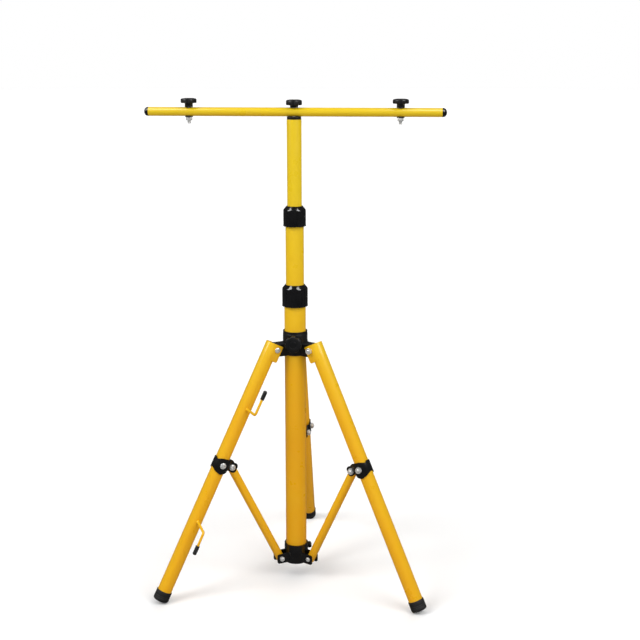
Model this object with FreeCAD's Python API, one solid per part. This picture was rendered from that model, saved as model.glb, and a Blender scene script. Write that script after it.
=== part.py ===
import FreeCAD, Part
import math
import os

# Telescopic tripod stand for two work lights.
# Millimetres. The mast's axis is the Z axis, the floor is Z = 0, the crossbar lies along X, and the
# hub's star knob faces -Y. Each leg lies in an upright plane through the mast's axis.

V = FreeCAD.Vector
ORIGIN = V(0, 0, 0)
X_AXIS = V(1, 0, 0)
Y_AXIS = V(0, 1, 0)
Z_AXIS = V(0, 0, 1)

# ---- Driving dimensions ----

# Clearances between pieces that move, and the slack of a bolt in its hole
GAP = 0.3
RUN = 0.1
BOLT_SLACK = 0.05

# Mast tubes: outer radius, inner radius, bottom and top
OUTER_R, OUTER_BORE = 19.0, 17.8
OUTER_BOTTOM, OUTER_TOP = 33.0, 536.0
MIDDLE_R, MIDDLE_BORE = 16.0, 14.8
MIDDLE_BOTTOM, MIDDLE_TOP = 200.0, 678.5
TOP_R, TOP_BORE = 12.7, 11.5
TOP_BOTTOM, TOP_TOP = 365.0, 843.0
BUSH_LENGTH = 25.0
BUSH_LIP = 3.0

# Twist locks: how far the nut starts below the end of its tube, outer radii, heights
NUT_SKIRT = 18.5
LOWER_NUT_R, LOWER_NUT_HEIGHT = 22.6, 38.5
UPPER_NUT_R, UPPER_NUT_HEIGHT = 19.7, 35.0
FERRULE_WALL = 1.6
THREAD_DEPTH = 0.4
THREAD_PITCH = 3.0
NUT_SHOULDER = 8.5
NUT_FLUTES = 20

# Legs: directions seen from above, angle from the vertical, pivot on the hub
LEG_ANGLE = {"left": 210.0, "right": 330.0, "back": 90.0}
LEG_LEAN = 26.4
HUB_PIVOT_R, HUB_PIVOT_Z = 40.0, 442.3
LEG_R, LEG_BORE = 12.7, 11.5
LEG_OFFSET = 7.7          # the tube's axis stands this far outside the pivot
LEG_HEAD = 9.1            # the tube's end above the pivot
CHEEK_LENGTH = 31.0
CHEEK_REACH = 16.0        # the cheeks' edge, inward from the tube's axis

# Feet
FOOT_R = 14.0
FOOT_LENGTH = 19.0
FOOT_SOLE = 3.0
FOOT_ROUND = 3.0
FOOT_TREAD = 0.4          # depth of the flat worn on each foot where it meets the floor

# Collars, struts and the lower hub
COLLAR_DOWN = 225.9       # clamp bolt, along the leg from the hub pivot
STRUT_DOWN = 224.0        # strut pivot, along the leg from the hub pivot
STRUT_IN = 20.7           # strut pivot, inward from the leg tube's axis
COLLAR_WALL = 1.8
EAR_R = 9.3
STRUT_R, STRUT_BORE = 7.5, 6.5
STRUT_END_R = 7.4
LOWER_PIVOT_R, LOWER_PIVOT_Z = 34.0, 41.5
LOWER_HUB_R = 21.8
LOWER_HUB_BOTTOM, LOWER_HUB_TOP = 29.5, 65.0
LOWER_EAR_WALL = 2.2
CLOSING_SLACK = 0.75      # play of the struts on the two hub bolts that close the linkage
THUMB_ANGLE, THUMB_Z = 30.0, 54.0
THUMB_BOSS = 23.4
THUMB_BACK, THUMB_FACE = 24.0, 29.5
THUMB_R = 6.0

# Upper hub
HUB_BORE, HUB_R = 19.7, 22.0
HUB_BOTTOM, HUB_TOP = 430.0, 472.5
HUB_EAR_HALF = 11.1
HUB_EAR_R = 9.5
KNOB_Z = 454.3
HUB_BOSS_R, HUB_BOSS_END = 8.0, 28.6
INSERT_R, HUB_INSERT_START = 5.0, 24.4
PAD_R, PAD_START, PAD_END = 3.5, 19.4, 20.9

# Bolts: shank radius, head radius, head height, nut across flats, nut height
M6 = (3.0, 5.0, 3.4, 10.0, 5.0)
M6_WIDE = (3.0, 5.65, 3.4, 10.0, 5.0)
M5 = (2.5, 4.2, 2.8, 8.0, 4.0)

# Crossbar
BAR_R, BAR_BORE = 7.5, 6.5
BAR_HALF = 252.0
BAR_Z = 855.5
LAMP_X = 181.5
CAP_DOME = 7.5
STUD_R, STUD_SLIM_R = 3.0, 2.8
STUD_BOTTOM = 835.5
LAMP_WASHER_R, LAMP_WASHER = 6.6, 1.5
LAMP_NUT = 5.6
PLUG_LENGTH = 20.0

# Star knobs: the head's radius, and where it starts and ends along the knob's axis
KNOB_LOBES = 7
KNOB_NECK_R = 6.9
SCREW_COVER = 3.4         # plastic over the end of a knob's screw
LAMP_KNOB_R, LAMP_KNOB_BOTTOM, LAMP_KNOB_TOP = 13.75, 870.1, 878.4
CENTRE_KNOB_BOTTOM, CENTRE_KNOB_TOP = 867.0, 876.5
HUB_KNOB_R, HUB_KNOB_BACK, HUB_KNOB_FACE = 15.0, 30.0, 40.0

# Cable hooks on the left leg
WIRE_R = 2.3
TIP_R = 3.6
TIP_LENGTH = 17.0
HOOK_ARM = 36.5
HOOK_BEND = 4.6
UPPER_HOOK_DOWN, UPPER_HOOK_DROP, UPPER_HOOK_RISE = 117.0, 0.0, 45.0
LOWER_HOOK_DOWN, LOWER_HOOK_DROP, LOWER_HOOK_RISE = 333.3, 7.5, -48.0

# ---- Worked-out dimensions ----

lean = math.radians(LEG_LEAN)
strut_pivot_in = STRUT_IN - LEG_OFFSET
strut_pivot_r = HUB_PIVOT_R + STRUT_DOWN * math.sin(lean) - strut_pivot_in * math.cos(lean)
strut_pivot_z = HUB_PIVOT_Z - STRUT_DOWN * math.cos(lean) - strut_pivot_in * math.sin(lean)
STRUT_LENGTH = math.hypot(strut_pivot_r - LOWER_PIVOT_R, strut_pivot_z - LOWER_PIVOT_Z)
STRUT_LEAN = math.degrees(math.atan2(strut_pivot_r - LOWER_PIVOT_R, strut_pivot_z - LOWER_PIVOT_Z))

# The foot's rounded inner edge comes down to the floor, less the flat worn on it
foot_edge = FOOT_R - LEG_OFFSET
foot_low = HUB_PIVOT_Z - foot_edge * math.sin(lean) + FOOT_TREAD
FOOT_DOWN = (foot_low + FOOT_ROUND * (math.cos(lean) + math.sin(lean) - 1)) / math.cos(lean)
LEG_END = FOOT_DOWN - FOOT_SOLE

COLLAR_R = LEG_R + COLLAR_WALL
EAR_INSIDE = STRUT_R + 0.4
EAR_OUTSIDE = EAR_INSIDE + COLLAR_WALL
BAR_TOP = BAR_Z + BAR_R
BAR_BOTTOM = BAR_Z - BAR_R


# ---- Shapes ----

def pipe(outer, inner, z0, z1):
    """A round tube along Z."""
    wall = Part.makeCylinder(outer, z1 - z0, V(0, 0, z0))
    return wall.cut(Part.makeCylinder(inner, z1 - z0 + 2, V(0, 0, z0 - 1)))


def rod(radius, start, end):
    """A round rod from one point to another."""
    return Part.makeCylinder(radius, (end - start).Length, start, end - start)


def rounded_face(points):
    """A flat face in XY. Each point is (u, v) or (u, v, corner radius)."""
    corners = []
    for i, point in enumerate(points):
        here = V(point[0], point[1], 0)
        radius = point[2] if len(point) > 2 else 0
        if radius == 0:
            corners.append((here, here, here))
            continue
        before = V(points[i - 1][0], points[i - 1][1], 0)
        after = V(points[(i + 1) % len(points)][0], points[(i + 1) % len(points)][1], 0)
        back = (before - here).normalize()
        on = (after - here).normalize()
        half = back.getAngle(on) / 2
        to_centre = (back + on).normalize()
        reach = radius / math.tan(half)
        middle = here + to_centre * (radius / math.sin(half) - radius)
        corners.append((here + back * reach, middle, here + on * reach))
    edges = []
    for i, (start, middle, end) in enumerate(corners):
        if (end - start).Length > 1e-6:
            edges.append(Part.Arc(start, middle, end).toShape())
        following = corners[(i + 1) % len(corners)][0]
        if (following - end).Length > 1e-6:
            edges.append(Part.makeLine(end, following))
    return Part.Face(Part.Wire(edges))


def turned(points):
    """A solid of revolution about Z from (radius, z) points."""
    face = rounded_face(points).rotated(ORIGIN, X_AXIS, 90)
    return face.revolve(ORIGIN, Z_AXIS, 360)


def side_plate(points, y0, y1):
    """A plate seen from the side: (x, z) points, between two values of Y."""
    face = rounded_face(points).rotated(ORIGIN, X_AXIS, 90).translated(V(0, y0, 0))
    return face.extrude(V(0, y1 - y0, 0))


def flat_plate(points, z0, z1):
    """A plate seen from above: (x, y) points, between two heights."""
    return rounded_face(points).translated(V(0, 0, z0)).extrude(V(0, 0, z1 - z0))


def across(shape):
    """Turns what was made along Z to lie along Y."""
    return shape.rotated(ORIGIN, X_AXIS, -90)


def in_leg(shape):
    """From leg coordinates (X outward, Z up the leg, origin at the hub pivot) to the leg's plane."""
    return shape.rotated(ORIGIN, Y_AXIS, -LEG_LEAN).translated(V(HUB_PIVOT_R, 0, HUB_PIVOT_Z))


def in_strut(shape):
    """From strut coordinates (Z up the strut, origin at the lower pivot) to the leg's plane."""
    return shape.rotated(ORIGIN, Y_AXIS, STRUT_LEAN).translated(V(LOWER_PIVOT_R, 0, LOWER_PIVOT_Z))


def at_leg(shape, side):
    """From the leg's plane (X outward) to its place round the mast."""
    return shape.rotated(ORIGIN, Z_AXIS, LEG_ANGLE[side])


def save(name, shape):
    """Writes one node."""
    if not shape.isValid():
        raise ValueError(name + " isn't a valid shape")
    shape.exportStep("parts/" + name + ".step")


# ---- Fasteners, made along Z and centred on the joint that they close ----

def pan_head(radius, height):
    """A domed screw head with a cross recess, standing on Z = 0."""
    dome = turned([(0, 0), (radius, 0, 0.3), (radius, height, height * 0.75), (0, height)])
    slot = Part.makeBox(radius * 1.1, 1.0, height, V(-radius * 0.55, -0.5, height * 0.45))
    return dome.cut(slot.fuse(slot.rotated(ORIGIN, Z_AXIS, 90)))


def hex_nut(flats, height, bore):
    """A hexagon nut with chamfered corners, standing on Z = 0."""
    corner = flats / math.sqrt(3)
    points = []
    for i in range(6):
        angle = math.radians(60 * i)
        points.append((corner * math.cos(angle), corner * math.sin(angle)))
    chamfer = (corner - flats / 2) * 0.6
    body = turned([
        (0, 0), (flats / 2, 0), (corner, chamfer), (corner, height - chamfer), (flats / 2, height),
        (0, height)])
    nut = flat_plate(points, 0, height).common(body)
    return nut.cut(Part.makeCylinder(bore, height + 2, V(0, 0, -1)))


def bolt(size, head_at, tail):
    """A bolt whose head sits on Z = head_at, with its tip at Z = tail."""
    shank_r, head_r, head_height = size[:3]
    head = pan_head(head_r, head_height).translated(V(0, 0, head_at))
    shank = turned([(0, tail), (shank_r, tail, 0.5), (shank_r, head_at + 0.3), (0, head_at + 0.3)])
    return shank.fuse(head)


def nut_for(size, seat):
    """The nut of such a bolt, bearing on Z = seat from below."""
    shank_r, flats, height = size[0], size[3], size[4]
    return hex_nut(flats, height, shank_r + BOLT_SLACK).translated(V(0, 0, seat - height))


def star_knob(radius, bottom, top, neck_bottom, bore, bore_top):
    """A star knob with its neck below, bored for its screw."""
    neck_r = KNOB_NECK_R
    edge = min(2.6, (top - bottom) * 0.3)
    blank = turned([
        (0, neck_bottom), (neck_r, neck_bottom, 0.5), (neck_r, bottom, 0.8),
        (radius - 1.5, bottom, 1.0), (radius, bottom + 1.5, 1.0), (radius, top - 0.8, edge),
        (radius * 0.62, top, 3.0), (0, top - 0.4)])
    valleys = []
    for i in range(KNOB_LOBES):
        angle = 2 * math.pi * (i + 0.5) / KNOB_LOBES
        reach = radius + 2.0
        spot = V(reach * math.sin(angle), reach * math.cos(angle), neck_bottom - 1)
        valleys.append(Part.makeCylinder(4.2, top - neck_bottom + 2, spot))
    knob = blank.cut(valleys)
    return knob.cut(Part.makeCylinder(bore, bore_top - neck_bottom + 1, V(0, 0, neck_bottom - 1)))


def knob_screw(tip, top):
    """The screw moulded into a knob."""
    return turned([(0, tip), (STUD_R, tip, 0.6), (STUD_R, top), (0, top)])


# ---- Mast ----

def guide_bush(tube_r, tube_bore, running_bore, bottom):
    """A plastic sleeve on a tube's foot, sliding in the larger tube."""
    outside = running_bore - RUN
    return turned([
        (tube_bore, bottom - BUSH_LIP), (outside, bottom - BUSH_LIP, 0.8),
        (outside, bottom + BUSH_LENGTH, 0.8), (tube_r, bottom + BUSH_LENGTH), (tube_r, bottom),
        (tube_bore, bottom)])


def threaded_ferrule(tube_r, inner_r, tube_top):
    """A threaded sleeve pressed over a tube's end, with a seat for the collet above it."""
    sleeve = tube_r + FERRULE_WALL
    start = tube_top - NUT_SKIRT + 3.5
    seat = tube_top + 3.5
    points = [(tube_r, tube_top), (tube_r, start), (sleeve, start)]
    z = start + 1.5
    while z + 1.2 < seat - 1:
        points += [(sleeve, z), (sleeve + THREAD_DEPTH, z + 0.6), (sleeve, z + 1.2)]
        z += THREAD_PITCH
    points += [(sleeve, seat), (inner_r + 0.6, seat), (inner_r + 0.6, tube_top)]
    return turned(points)


def split_collet(tube_r, inner_r, nut_bottom, nut_height):
    """A tapered ring with one slit, squeezed on the smaller tube by the nut."""
    bottom = nut_bottom + NUT_SKIRT + 3.7
    top = nut_bottom + nut_height - 4.5
    wide = tube_r + FERRULE_WALL - 0.3
    narrow = inner_r + 2.1
    ring = turned([(inner_r + RUN, bottom), (wide, bottom), (narrow, top), (inner_r + RUN, top)])
    return ring.cut(Part.makeBox(wide + 5, 2.0, nut_height, V(0, -1.0, bottom - 1)))


def twist_nut(tube_r, inner_r, nut_r, bottom, height):
    """A fluted clamping nut with a rounded conical shoulder."""
    thread = tube_r + FERRULE_WALL + THREAD_DEPTH + GAP
    top = bottom + height
    cone_start = bottom + NUT_SKIRT + 3.7
    cone_end = top - 4.2
    body = turned([
        (thread, bottom, 0.3), (nut_r + 0.3, bottom, 0.5), (nut_r + 0.3, bottom + 2.8, 0.5),
        (nut_r, bottom + 3.4), (nut_r, top - NUT_SHOULDER + 1.5, 4.0), (nut_r - 4.6, top, 1.2),
        (inner_r + GAP + 0.1, top, 0.3), (inner_r + GAP + 0.1, cone_end),
        (inner_r + 2.5, cone_end), (thread - 0.4, cone_start), (thread, cone_start)])
    flutes = []
    for i in range(NUT_FLUTES):
        angle = 2 * math.pi * i / NUT_FLUTES
        spot = V((nut_r + 1.4) * math.cos(angle), (nut_r + 1.4) * math.sin(angle), bottom + 4.5)
        flutes.append(Part.makeCylinder(1.9, height - NUT_SHOULDER - 6.0, spot))
    return body.cut(flutes)


def mast():
    save("outer_tube", pipe(OUTER_R, OUTER_BORE, OUTER_BOTTOM, OUTER_TOP))
    save("middle_tube", pipe(MIDDLE_R, MIDDLE_BORE, MIDDLE_BOTTOM, MIDDLE_TOP))
    save("top_tube", pipe(TOP_R, TOP_BORE, TOP_BOTTOM, TOP_TOP))
    save("middle_bush", guide_bush(MIDDLE_R, MIDDLE_BORE, OUTER_BORE, MIDDLE_BOTTOM))
    save("top_bush", guide_bush(TOP_R, TOP_BORE, MIDDLE_BORE, TOP_BOTTOM))

    plug_r = OUTER_BORE - BOLT_SLACK
    plug_bore = plug_r - 2.4
    plug_top = OUTER_BOTTOM + 15
    save("mast_plug", turned([
        (0, LOWER_HUB_BOTTOM), (OUTER_R, LOWER_HUB_BOTTOM, 0.5), (OUTER_R, OUTER_BOTTOM),
        (plug_r, OUTER_BOTTOM), (plug_r, plug_top, 1.0), (plug_bore, plug_top), (plug_bore, OUTER_BOTTOM),
        (0, OUTER_BOTTOM)]))

    save("lower_ferrule", threaded_ferrule(OUTER_R, MIDDLE_R, OUTER_TOP))
    save("upper_ferrule", threaded_ferrule(MIDDLE_R, TOP_R, MIDDLE_TOP))
    lower_nut = OUTER_TOP - NUT_SKIRT
    upper_nut = MIDDLE_TOP - NUT_SKIRT
    save("lower_collet", split_collet(OUTER_R, MIDDLE_R, lower_nut, LOWER_NUT_HEIGHT))
    save("upper_collet", split_collet(MIDDLE_R, TOP_R, upper_nut, UPPER_NUT_HEIGHT))
    save("lower_twist_nut", twist_nut(OUTER_R, MIDDLE_R, LOWER_NUT_R, lower_nut, LOWER_NUT_HEIGHT))
    save("upper_twist_nut", twist_nut(MIDDLE_R, TOP_R, UPPER_NUT_R, upper_nut, UPPER_NUT_HEIGHT))


def mast_head():
    """Plug and insert in the top tube's end, and the centre knob whose screw holds the crossbar."""
    seat = BAR_BOTTOM - GAP
    body_r = TOP_BORE - BOLT_SLACK
    flange_r = TOP_R - 0.4
    plug_bottom = TOP_TOP - PLUG_LENGTH
    save("top_plug", turned([
        (INSERT_R, plug_bottom), (body_r, plug_bottom, 1.0), (body_r, TOP_TOP),
        (flange_r, TOP_TOP, 0.3), (flange_r, seat, 0.6), (INSERT_R, seat)]))
    save("top_insert", pipe(INSERT_R, STUD_R + RUN, TOP_TOP - 14, seat - 0.5))
    screw_top = CENTRE_KNOB_TOP - SCREW_COVER
    knob = star_knob(LAMP_KNOB_R, CENTRE_KNOB_BOTTOM, CENTRE_KNOB_TOP, BAR_TOP + GAP, STUD_R, screw_top)
    save("centre_knob", knob)
    save("centre_screw", knob_screw(TOP_TOP - 12, screw_top))


# ---- Crossbar ----

def crossbar():
    bar = pipe(BAR_R, BAR_BORE, -BAR_HALF, BAR_HALF).rotated(ORIGIN, Y_AXIS, 90)
    bar = bar.translated(V(0, 0, BAR_Z))
    for x in (-LAMP_X, 0, LAMP_X):
        bar = bar.cut(Part.makeCylinder(STUD_R + 0.2, 4 * BAR_R, V(x, 0, BAR_Z - 2 * BAR_R)))
    save("crossbar_tube", bar)

    cap_body_r = BAR_BORE - BOLT_SLACK
    cap = turned([
        (0, -12), (cap_body_r, -12, 0.8), (cap_body_r, 0), (BAR_R + 0.1, 0),
        (BAR_R + 0.1, CAP_DOME, 6.2), (0, CAP_DOME)])
    for name, turn, x in (("crossbar_cap_left", -90, -BAR_HALF), ("crossbar_cap_right", 90, BAR_HALF)):
        save(name, cap.rotated(ORIGIN, Y_AXIS, turn).translated(V(x, 0, BAR_Z)))

    nut_bottom = BAR_BOTTOM - LAMP_WASHER - LAMP_NUT
    washer = pipe(LAMP_WASHER_R, STUD_R + 0.2, BAR_BOTTOM - LAMP_WASHER, BAR_BOTTOM)
    nut = hex_nut(M6[3], LAMP_NUT, STUD_SLIM_R + BOLT_SLACK).translated(V(0, 0, nut_bottom))
    save("lamp_washers", Part.makeCompound([washer.translated(V(x, 0, 0)) for x in (-LAMP_X, LAMP_X)]))
    save("lamp_nuts", Part.makeCompound([nut.translated(V(x, 0, 0)) for x in (-LAMP_X, LAMP_X)]))

    stud_top = LAMP_KNOB_TOP - SCREW_COVER
    knob = star_knob(LAMP_KNOB_R, LAMP_KNOB_BOTTOM, LAMP_KNOB_TOP, BAR_TOP + GAP, STUD_SLIM_R, stud_top)
    # The stretch that sticks out of the nut is full size; above it the stud is slimmer to turn freely
    stud = turned([
        (0, STUD_BOTTOM), (STUD_R, STUD_BOTTOM, 0.6), (STUD_R, nut_bottom - BOLT_SLACK),
        (STUD_SLIM_R, nut_bottom - BOLT_SLACK), (STUD_SLIM_R, stud_top), (0, stud_top)])
    for side, x in (("left", -LAMP_X), ("right", LAMP_X)):
        save("lamp_knob_" + side, knob.translated(V(x, 0, 0)))
        save("lamp_stud_" + side, stud.translated(V(x, 0, 0)))


# ---- Upper hub ----

def upper_hub():
    """The sliding collar with an ear for each leg and a boss for the star knob's screw."""
    def at_pivot(shape):
        return across(shape).translated(V(HUB_PIVOT_R, 0, HUB_PIVOT_Z))

    hub = pipe(HUB_R, HUB_BORE - 1, HUB_BOTTOM, HUB_TOP)
    tip = HUB_PIVOT_R + HUB_EAR_R
    ear = side_plate([
        (12, HUB_BOTTOM), (tip, HUB_PIVOT_Z - HUB_EAR_R, HUB_EAR_R - 0.1),
        (tip, HUB_PIVOT_Z + HUB_EAR_R, HUB_EAR_R - 0.1), (12, HUB_PIVOT_Z + 14)],
        -HUB_EAR_HALF, HUB_EAR_HALF)
    for side in LEG_ANGLE:
        hub = hub.fuse(at_leg(ear, side))
    front = V(0, 0, KNOB_Z)
    hub = hub.fuse(rod(HUB_BOSS_R, front, front + V(0, -HUB_BOSS_END, 0)))
    hub = hub.cut(turned([
        (0, HUB_BOTTOM - 1), (HUB_BORE + 1, HUB_BOTTOM - 1), (HUB_BORE, HUB_BOTTOM + 1),
        (HUB_BORE, HUB_TOP - 2), (HUB_BORE + 1.2, HUB_TOP + 1), (0, HUB_TOP + 1)]))
    pivot = at_pivot(Part.makeCylinder(M6[0] + BOLT_SLACK, 60, V(0, 0, -30)))
    for side in LEG_ANGLE:
        hub = hub.cut(at_leg(pivot, side))
    # The pad's pocket, the screw's hole and the insert's pocket, one behind the other
    pad_pocket = (PAD_R + 0.2, 0, PAD_END + 1.7)
    screw_hole = (STUD_R + 0.2, 0, HUB_BOSS_END)
    insert_pocket = (INSERT_R, HUB_INSERT_START, HUB_BOSS_END + 1)
    for radius, start, end in (pad_pocket, screw_hole, insert_pocket):
        hub = hub.cut(rod(radius, front + V(0, -start, 0), front + V(0, -end, 0)))
    save("upper_hub", hub.removeSplitter())

    insert = pipe(INSERT_R, STUD_R + RUN, HUB_INSERT_START, HUB_BOSS_END - 0.2)
    pad = Part.makeCylinder(PAD_R, PAD_END - PAD_START, V(0, 0, PAD_START))

    outside = LEG_R + 0.2
    pivot_bolt = at_pivot(bolt(M6, outside, -outside - M6[4] - 1.5))
    pivot_nut = at_pivot(nut_for(M6, -outside))
    save("hub_bolts", Part.makeCompound([at_leg(pivot_bolt, side) for side in LEG_ANGLE]))
    save("hub_nuts", Part.makeCompound([at_leg(pivot_nut, side) for side in LEG_ANGLE]))

    screw_end = HUB_KNOB_FACE - SCREW_COVER
    knob = star_knob(HUB_KNOB_R, HUB_KNOB_BACK, HUB_KNOB_FACE, HUB_BOSS_END + GAP, STUD_R, screw_end)
    screw = knob_screw(PAD_END + GAP, screw_end)
    # Made along Z, then turned to point at -Y with one lobe of the knob straight up
    for name, shape in (("knob", knob), ("knob_screw", screw), ("insert", insert), ("pressure_pad", pad)):
        save("hub_" + name, shape.rotated(ORIGIN, X_AXIS, 90).translated(front))


# ---- Legs ----

def leg_tube():
    """Round tube whose end is formed into a channel, its two cheeks reaching inward over the hub's ear."""
    foot_of_cheeks = LEG_HEAD - CHEEK_LENGTH
    inner = LEG_OFFSET - CHEEK_REACH
    outside = Part.makeBox(CHEEK_REACH, 2 * LEG_R, CHEEK_LENGTH, V(inner, -LEG_R, foot_of_cheeks))
    outside = outside.fuse(Part.makeCylinder(LEG_R, CHEEK_LENGTH, V(LEG_OFFSET, 0, foot_of_cheeks)))
    inside = Part.makeBox(CHEEK_REACH + 1, 2 * LEG_BORE, CHEEK_LENGTH + 2,
                          V(inner - 1, -LEG_BORE, foot_of_cheeks - 1))
    inside = inside.fuse(Part.makeCylinder(LEG_BORE, CHEEK_LENGTH + 2, V(LEG_OFFSET, 0, foot_of_cheeks - 1)))
    side = side_plate([
        (inner, LEG_HEAD, 1.5), (inner, foot_of_cheeks, 3.0), (LEG_OFFSET + LEG_R, foot_of_cheeks),
        (LEG_OFFSET + LEG_R, LEG_HEAD)], -LEG_R, LEG_R)
    channel = outside.cut(inside).common(side)
    tube = pipe(LEG_R, LEG_BORE, -LEG_END, foot_of_cheeks).translated(V(LEG_OFFSET, 0, 0))
    leg = channel.fuse(tube).removeSplitter()
    leg = leg.cut(across(Part.makeCylinder(M6[0] + RUN, 60, V(0, 0, -30))))
    clamp = across(Part.makeCylinder(M6[0] + BOLT_SLACK, 60, V(0, 0, -30)))
    return leg.cut(clamp.translated(V(LEG_OFFSET, 0, -COLLAR_DOWN)))


def leg_collar():
    """A strap wrapped round the outside of the leg, its ends drawn in as ears for the strut."""
    def inward(distance):
        return LEG_OFFSET - distance

    ear_end = inward(STRUT_IN + EAR_R)
    bend_start, bend_end = inward(11.4), inward(14.3)
    half = flat_plate([
        (LEG_OFFSET, LEG_R + 0.05), (LEG_OFFSET, COLLAR_R), (bend_start, COLLAR_R, 1.5),
        (bend_end, EAR_OUTSIDE, 1.5), (ear_end, EAR_OUTSIDE), (ear_end, EAR_INSIDE),
        (bend_end + 0.6, EAR_INSIDE, 0.6), (bend_start + 0.6, LEG_R + 0.05, 0.6)], -400, -100)
    wrap = pipe(COLLAR_R, LEG_R + 0.05, -400, -100).translated(V(LEG_OFFSET, 0, 0))
    wrap = wrap.common(Part.makeBox(50, 60, 400, V(LEG_OFFSET, -30, -450)))
    strap = wrap.fuse([half, half.mirror(ORIGIN, Y_AXIS)])

    back = inward(-COLLAR_R)
    cheek = side_plate([
        (back - 0.5, -COLLAR_DOWN - 7.0), (back - 0.5, -COLLAR_DOWN + 10.5),
        (LEG_OFFSET + 12.2, -COLLAR_DOWN + 6.0, 1.5), (LEG_OFFSET + 4, -COLLAR_DOWN + 9.5, 8),
        (inward(12), -COLLAR_DOWN + 14.0, 6),
        (inward(STRUT_IN), -STRUT_DOWN + EAR_R),
        (inward(STRUT_IN), -STRUT_DOWN - EAR_R + 1.5), (inward(12.7), -COLLAR_DOWN - 5.5, 2),
        (inward(8.5), -COLLAR_DOWN - 13.2, 7), (LEG_OFFSET - 1, -COLLAR_DOWN - 16.6, 12),
        (LEG_OFFSET + 9.5, -COLLAR_DOWN - 13.0, 8)], -30, 30)
    behind = Part.makeBox(2, 60, 17.5, V(back - 1.5, -30, -COLLAR_DOWN - 7.0))
    ear = across(Part.makeCylinder(EAR_R, 60, V(0, 0, -30))).translated(V(inward(STRUT_IN), 0, -STRUT_DOWN))
    collar = strap.common(cheek.fuse([ear, behind])).removeSplitter()
    hole = across(Part.makeCylinder(M6[0] + BOLT_SLACK, 60, V(0, 0, -30)))
    for x, z in ((LEG_OFFSET, -COLLAR_DOWN), (inward(STRUT_IN), -STRUT_DOWN)):
        collar = collar.cut(hole.translated(V(x, 0, z)))
    return collar


def collar_fasteners():
    """The clamp bolt through the leg and the strut's pivot bolt, then their nuts."""
    clamp_spot = V(LEG_OFFSET, 0, -COLLAR_DOWN)
    strut_spot = V(LEG_OFFSET - STRUT_IN, 0, -STRUT_DOWN)
    bolts, nuts = [], []
    for outside, spot in ((COLLAR_R, clamp_spot), (EAR_OUTSIDE, strut_spot)):
        bolts.append(across(bolt(M6_WIDE, outside, -outside - M6[4] - 1.5)).translated(spot))
        nuts.append(across(nut_for(M6_WIDE, -outside)).translated(spot))
    return Part.makeCompound(bolts), Part.makeCompound(nuts)


def rubber_foot():
    """A cap pushed over the leg's end."""
    top = -FOOT_DOWN + FOOT_LENGTH
    foot = turned([
        (0, -FOOT_DOWN), (FOOT_R, -FOOT_DOWN, FOOT_ROUND), (FOOT_R, top, 1.0), (LEG_R, top),
        (LEG_R, -LEG_END), (0, -LEG_END)])
    return foot.translated(V(LEG_OFFSET, 0, 0))


def cable_hook(down, drop, rise):
    """Wire from the leg's side, bent to run along the leg and end this far above (or below) its root."""
    start = V(LEG_OFFSET, 8.0, -down)
    corner = V(LEG_OFFSET, LEG_R + HOOK_ARM, -down - drop)
    end = V(LEG_OFFSET, LEG_R + HOOK_ARM, -down + rise)
    back = (start - corner).normalize()
    on = (end - corner).normalize()
    half = back.getAngle(on) / 2
    reach = HOOK_BEND / math.tan(half)
    middle = corner + (back + on).normalize() * (HOOK_BEND / math.sin(half) - HOOK_BEND)
    wire_path = Part.Wire([
        Part.makeLine(start, corner + back * reach),
        Part.Arc(corner + back * reach, middle, corner + on * reach).toShape(),
        Part.makeLine(corner + on * reach, end)])
    section = Part.Wire([Part.makeCircle(WIRE_R, start, V(0, 0, 0) - back)])
    wire = wire_path.makePipeShell([section], True, True)
    # The weld: a small cone of metal round the wire's root
    weld = Part.makeCone(WIRE_R + 1.2, WIRE_R, 3.2, V(LEG_OFFSET, LEG_R - 1.2, -down), V(0, 0, 0) - back)
    hook = wire.fuse(weld)
    hook = hook.cut(Part.makeCylinder(LEG_R, 60, V(LEG_OFFSET, 0, -down - 30)))
    tip = Part.makeCylinder(TIP_R, TIP_LENGTH, end - on * (TIP_LENGTH - 1.5), on)
    tip = tip.makeFillet(TIP_R * 0.85, [edge for edge in tip.Edges if is_end_circle(edge, end + on * 1.5)])
    tip = tip.cut(Part.makeCylinder(WIRE_R, TIP_LENGTH - 1.5, end - on * (TIP_LENGTH - 1.5), on))
    return hook, tip


def is_end_circle(edge, centre):
    """Whether an edge is the circle about this point."""
    return hasattr(edge.Curve, "Center") and (edge.Curve.Center - centre).Length < 0.01


def legs():
    floor = Part.makeBox(1000, 1000, 50, V(-500, -500, -50))
    bolts, nuts = collar_fasteners()
    for side in LEG_ANGLE:
        save("leg_" + side + "_tube", at_leg(in_leg(leg_tube()), side))
        save("leg_" + side + "_collar", at_leg(in_leg(leg_collar()), side))
        save("leg_" + side + "_bolts", at_leg(in_leg(bolts), side))
        save("leg_" + side + "_nuts", at_leg(in_leg(nuts), side))
        save("leg_" + side + "_foot", at_leg(in_leg(rubber_foot()), side).cut(floor))
    hooks = (("upper", UPPER_HOOK_DOWN, UPPER_HOOK_DROP, UPPER_HOOK_RISE),
             ("lower", LOWER_HOOK_DOWN, LOWER_HOOK_DROP, LOWER_HOOK_RISE))
    for name, down, drop, rise in hooks:
        hook, tip = cable_hook(down, drop, rise)
        save(name + "_cable_hook", at_leg(in_leg(hook), "left"))
        save(name + "_hook_tip", at_leg(in_leg(tip), "left"))


# ---- Struts and lower hub ----

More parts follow.
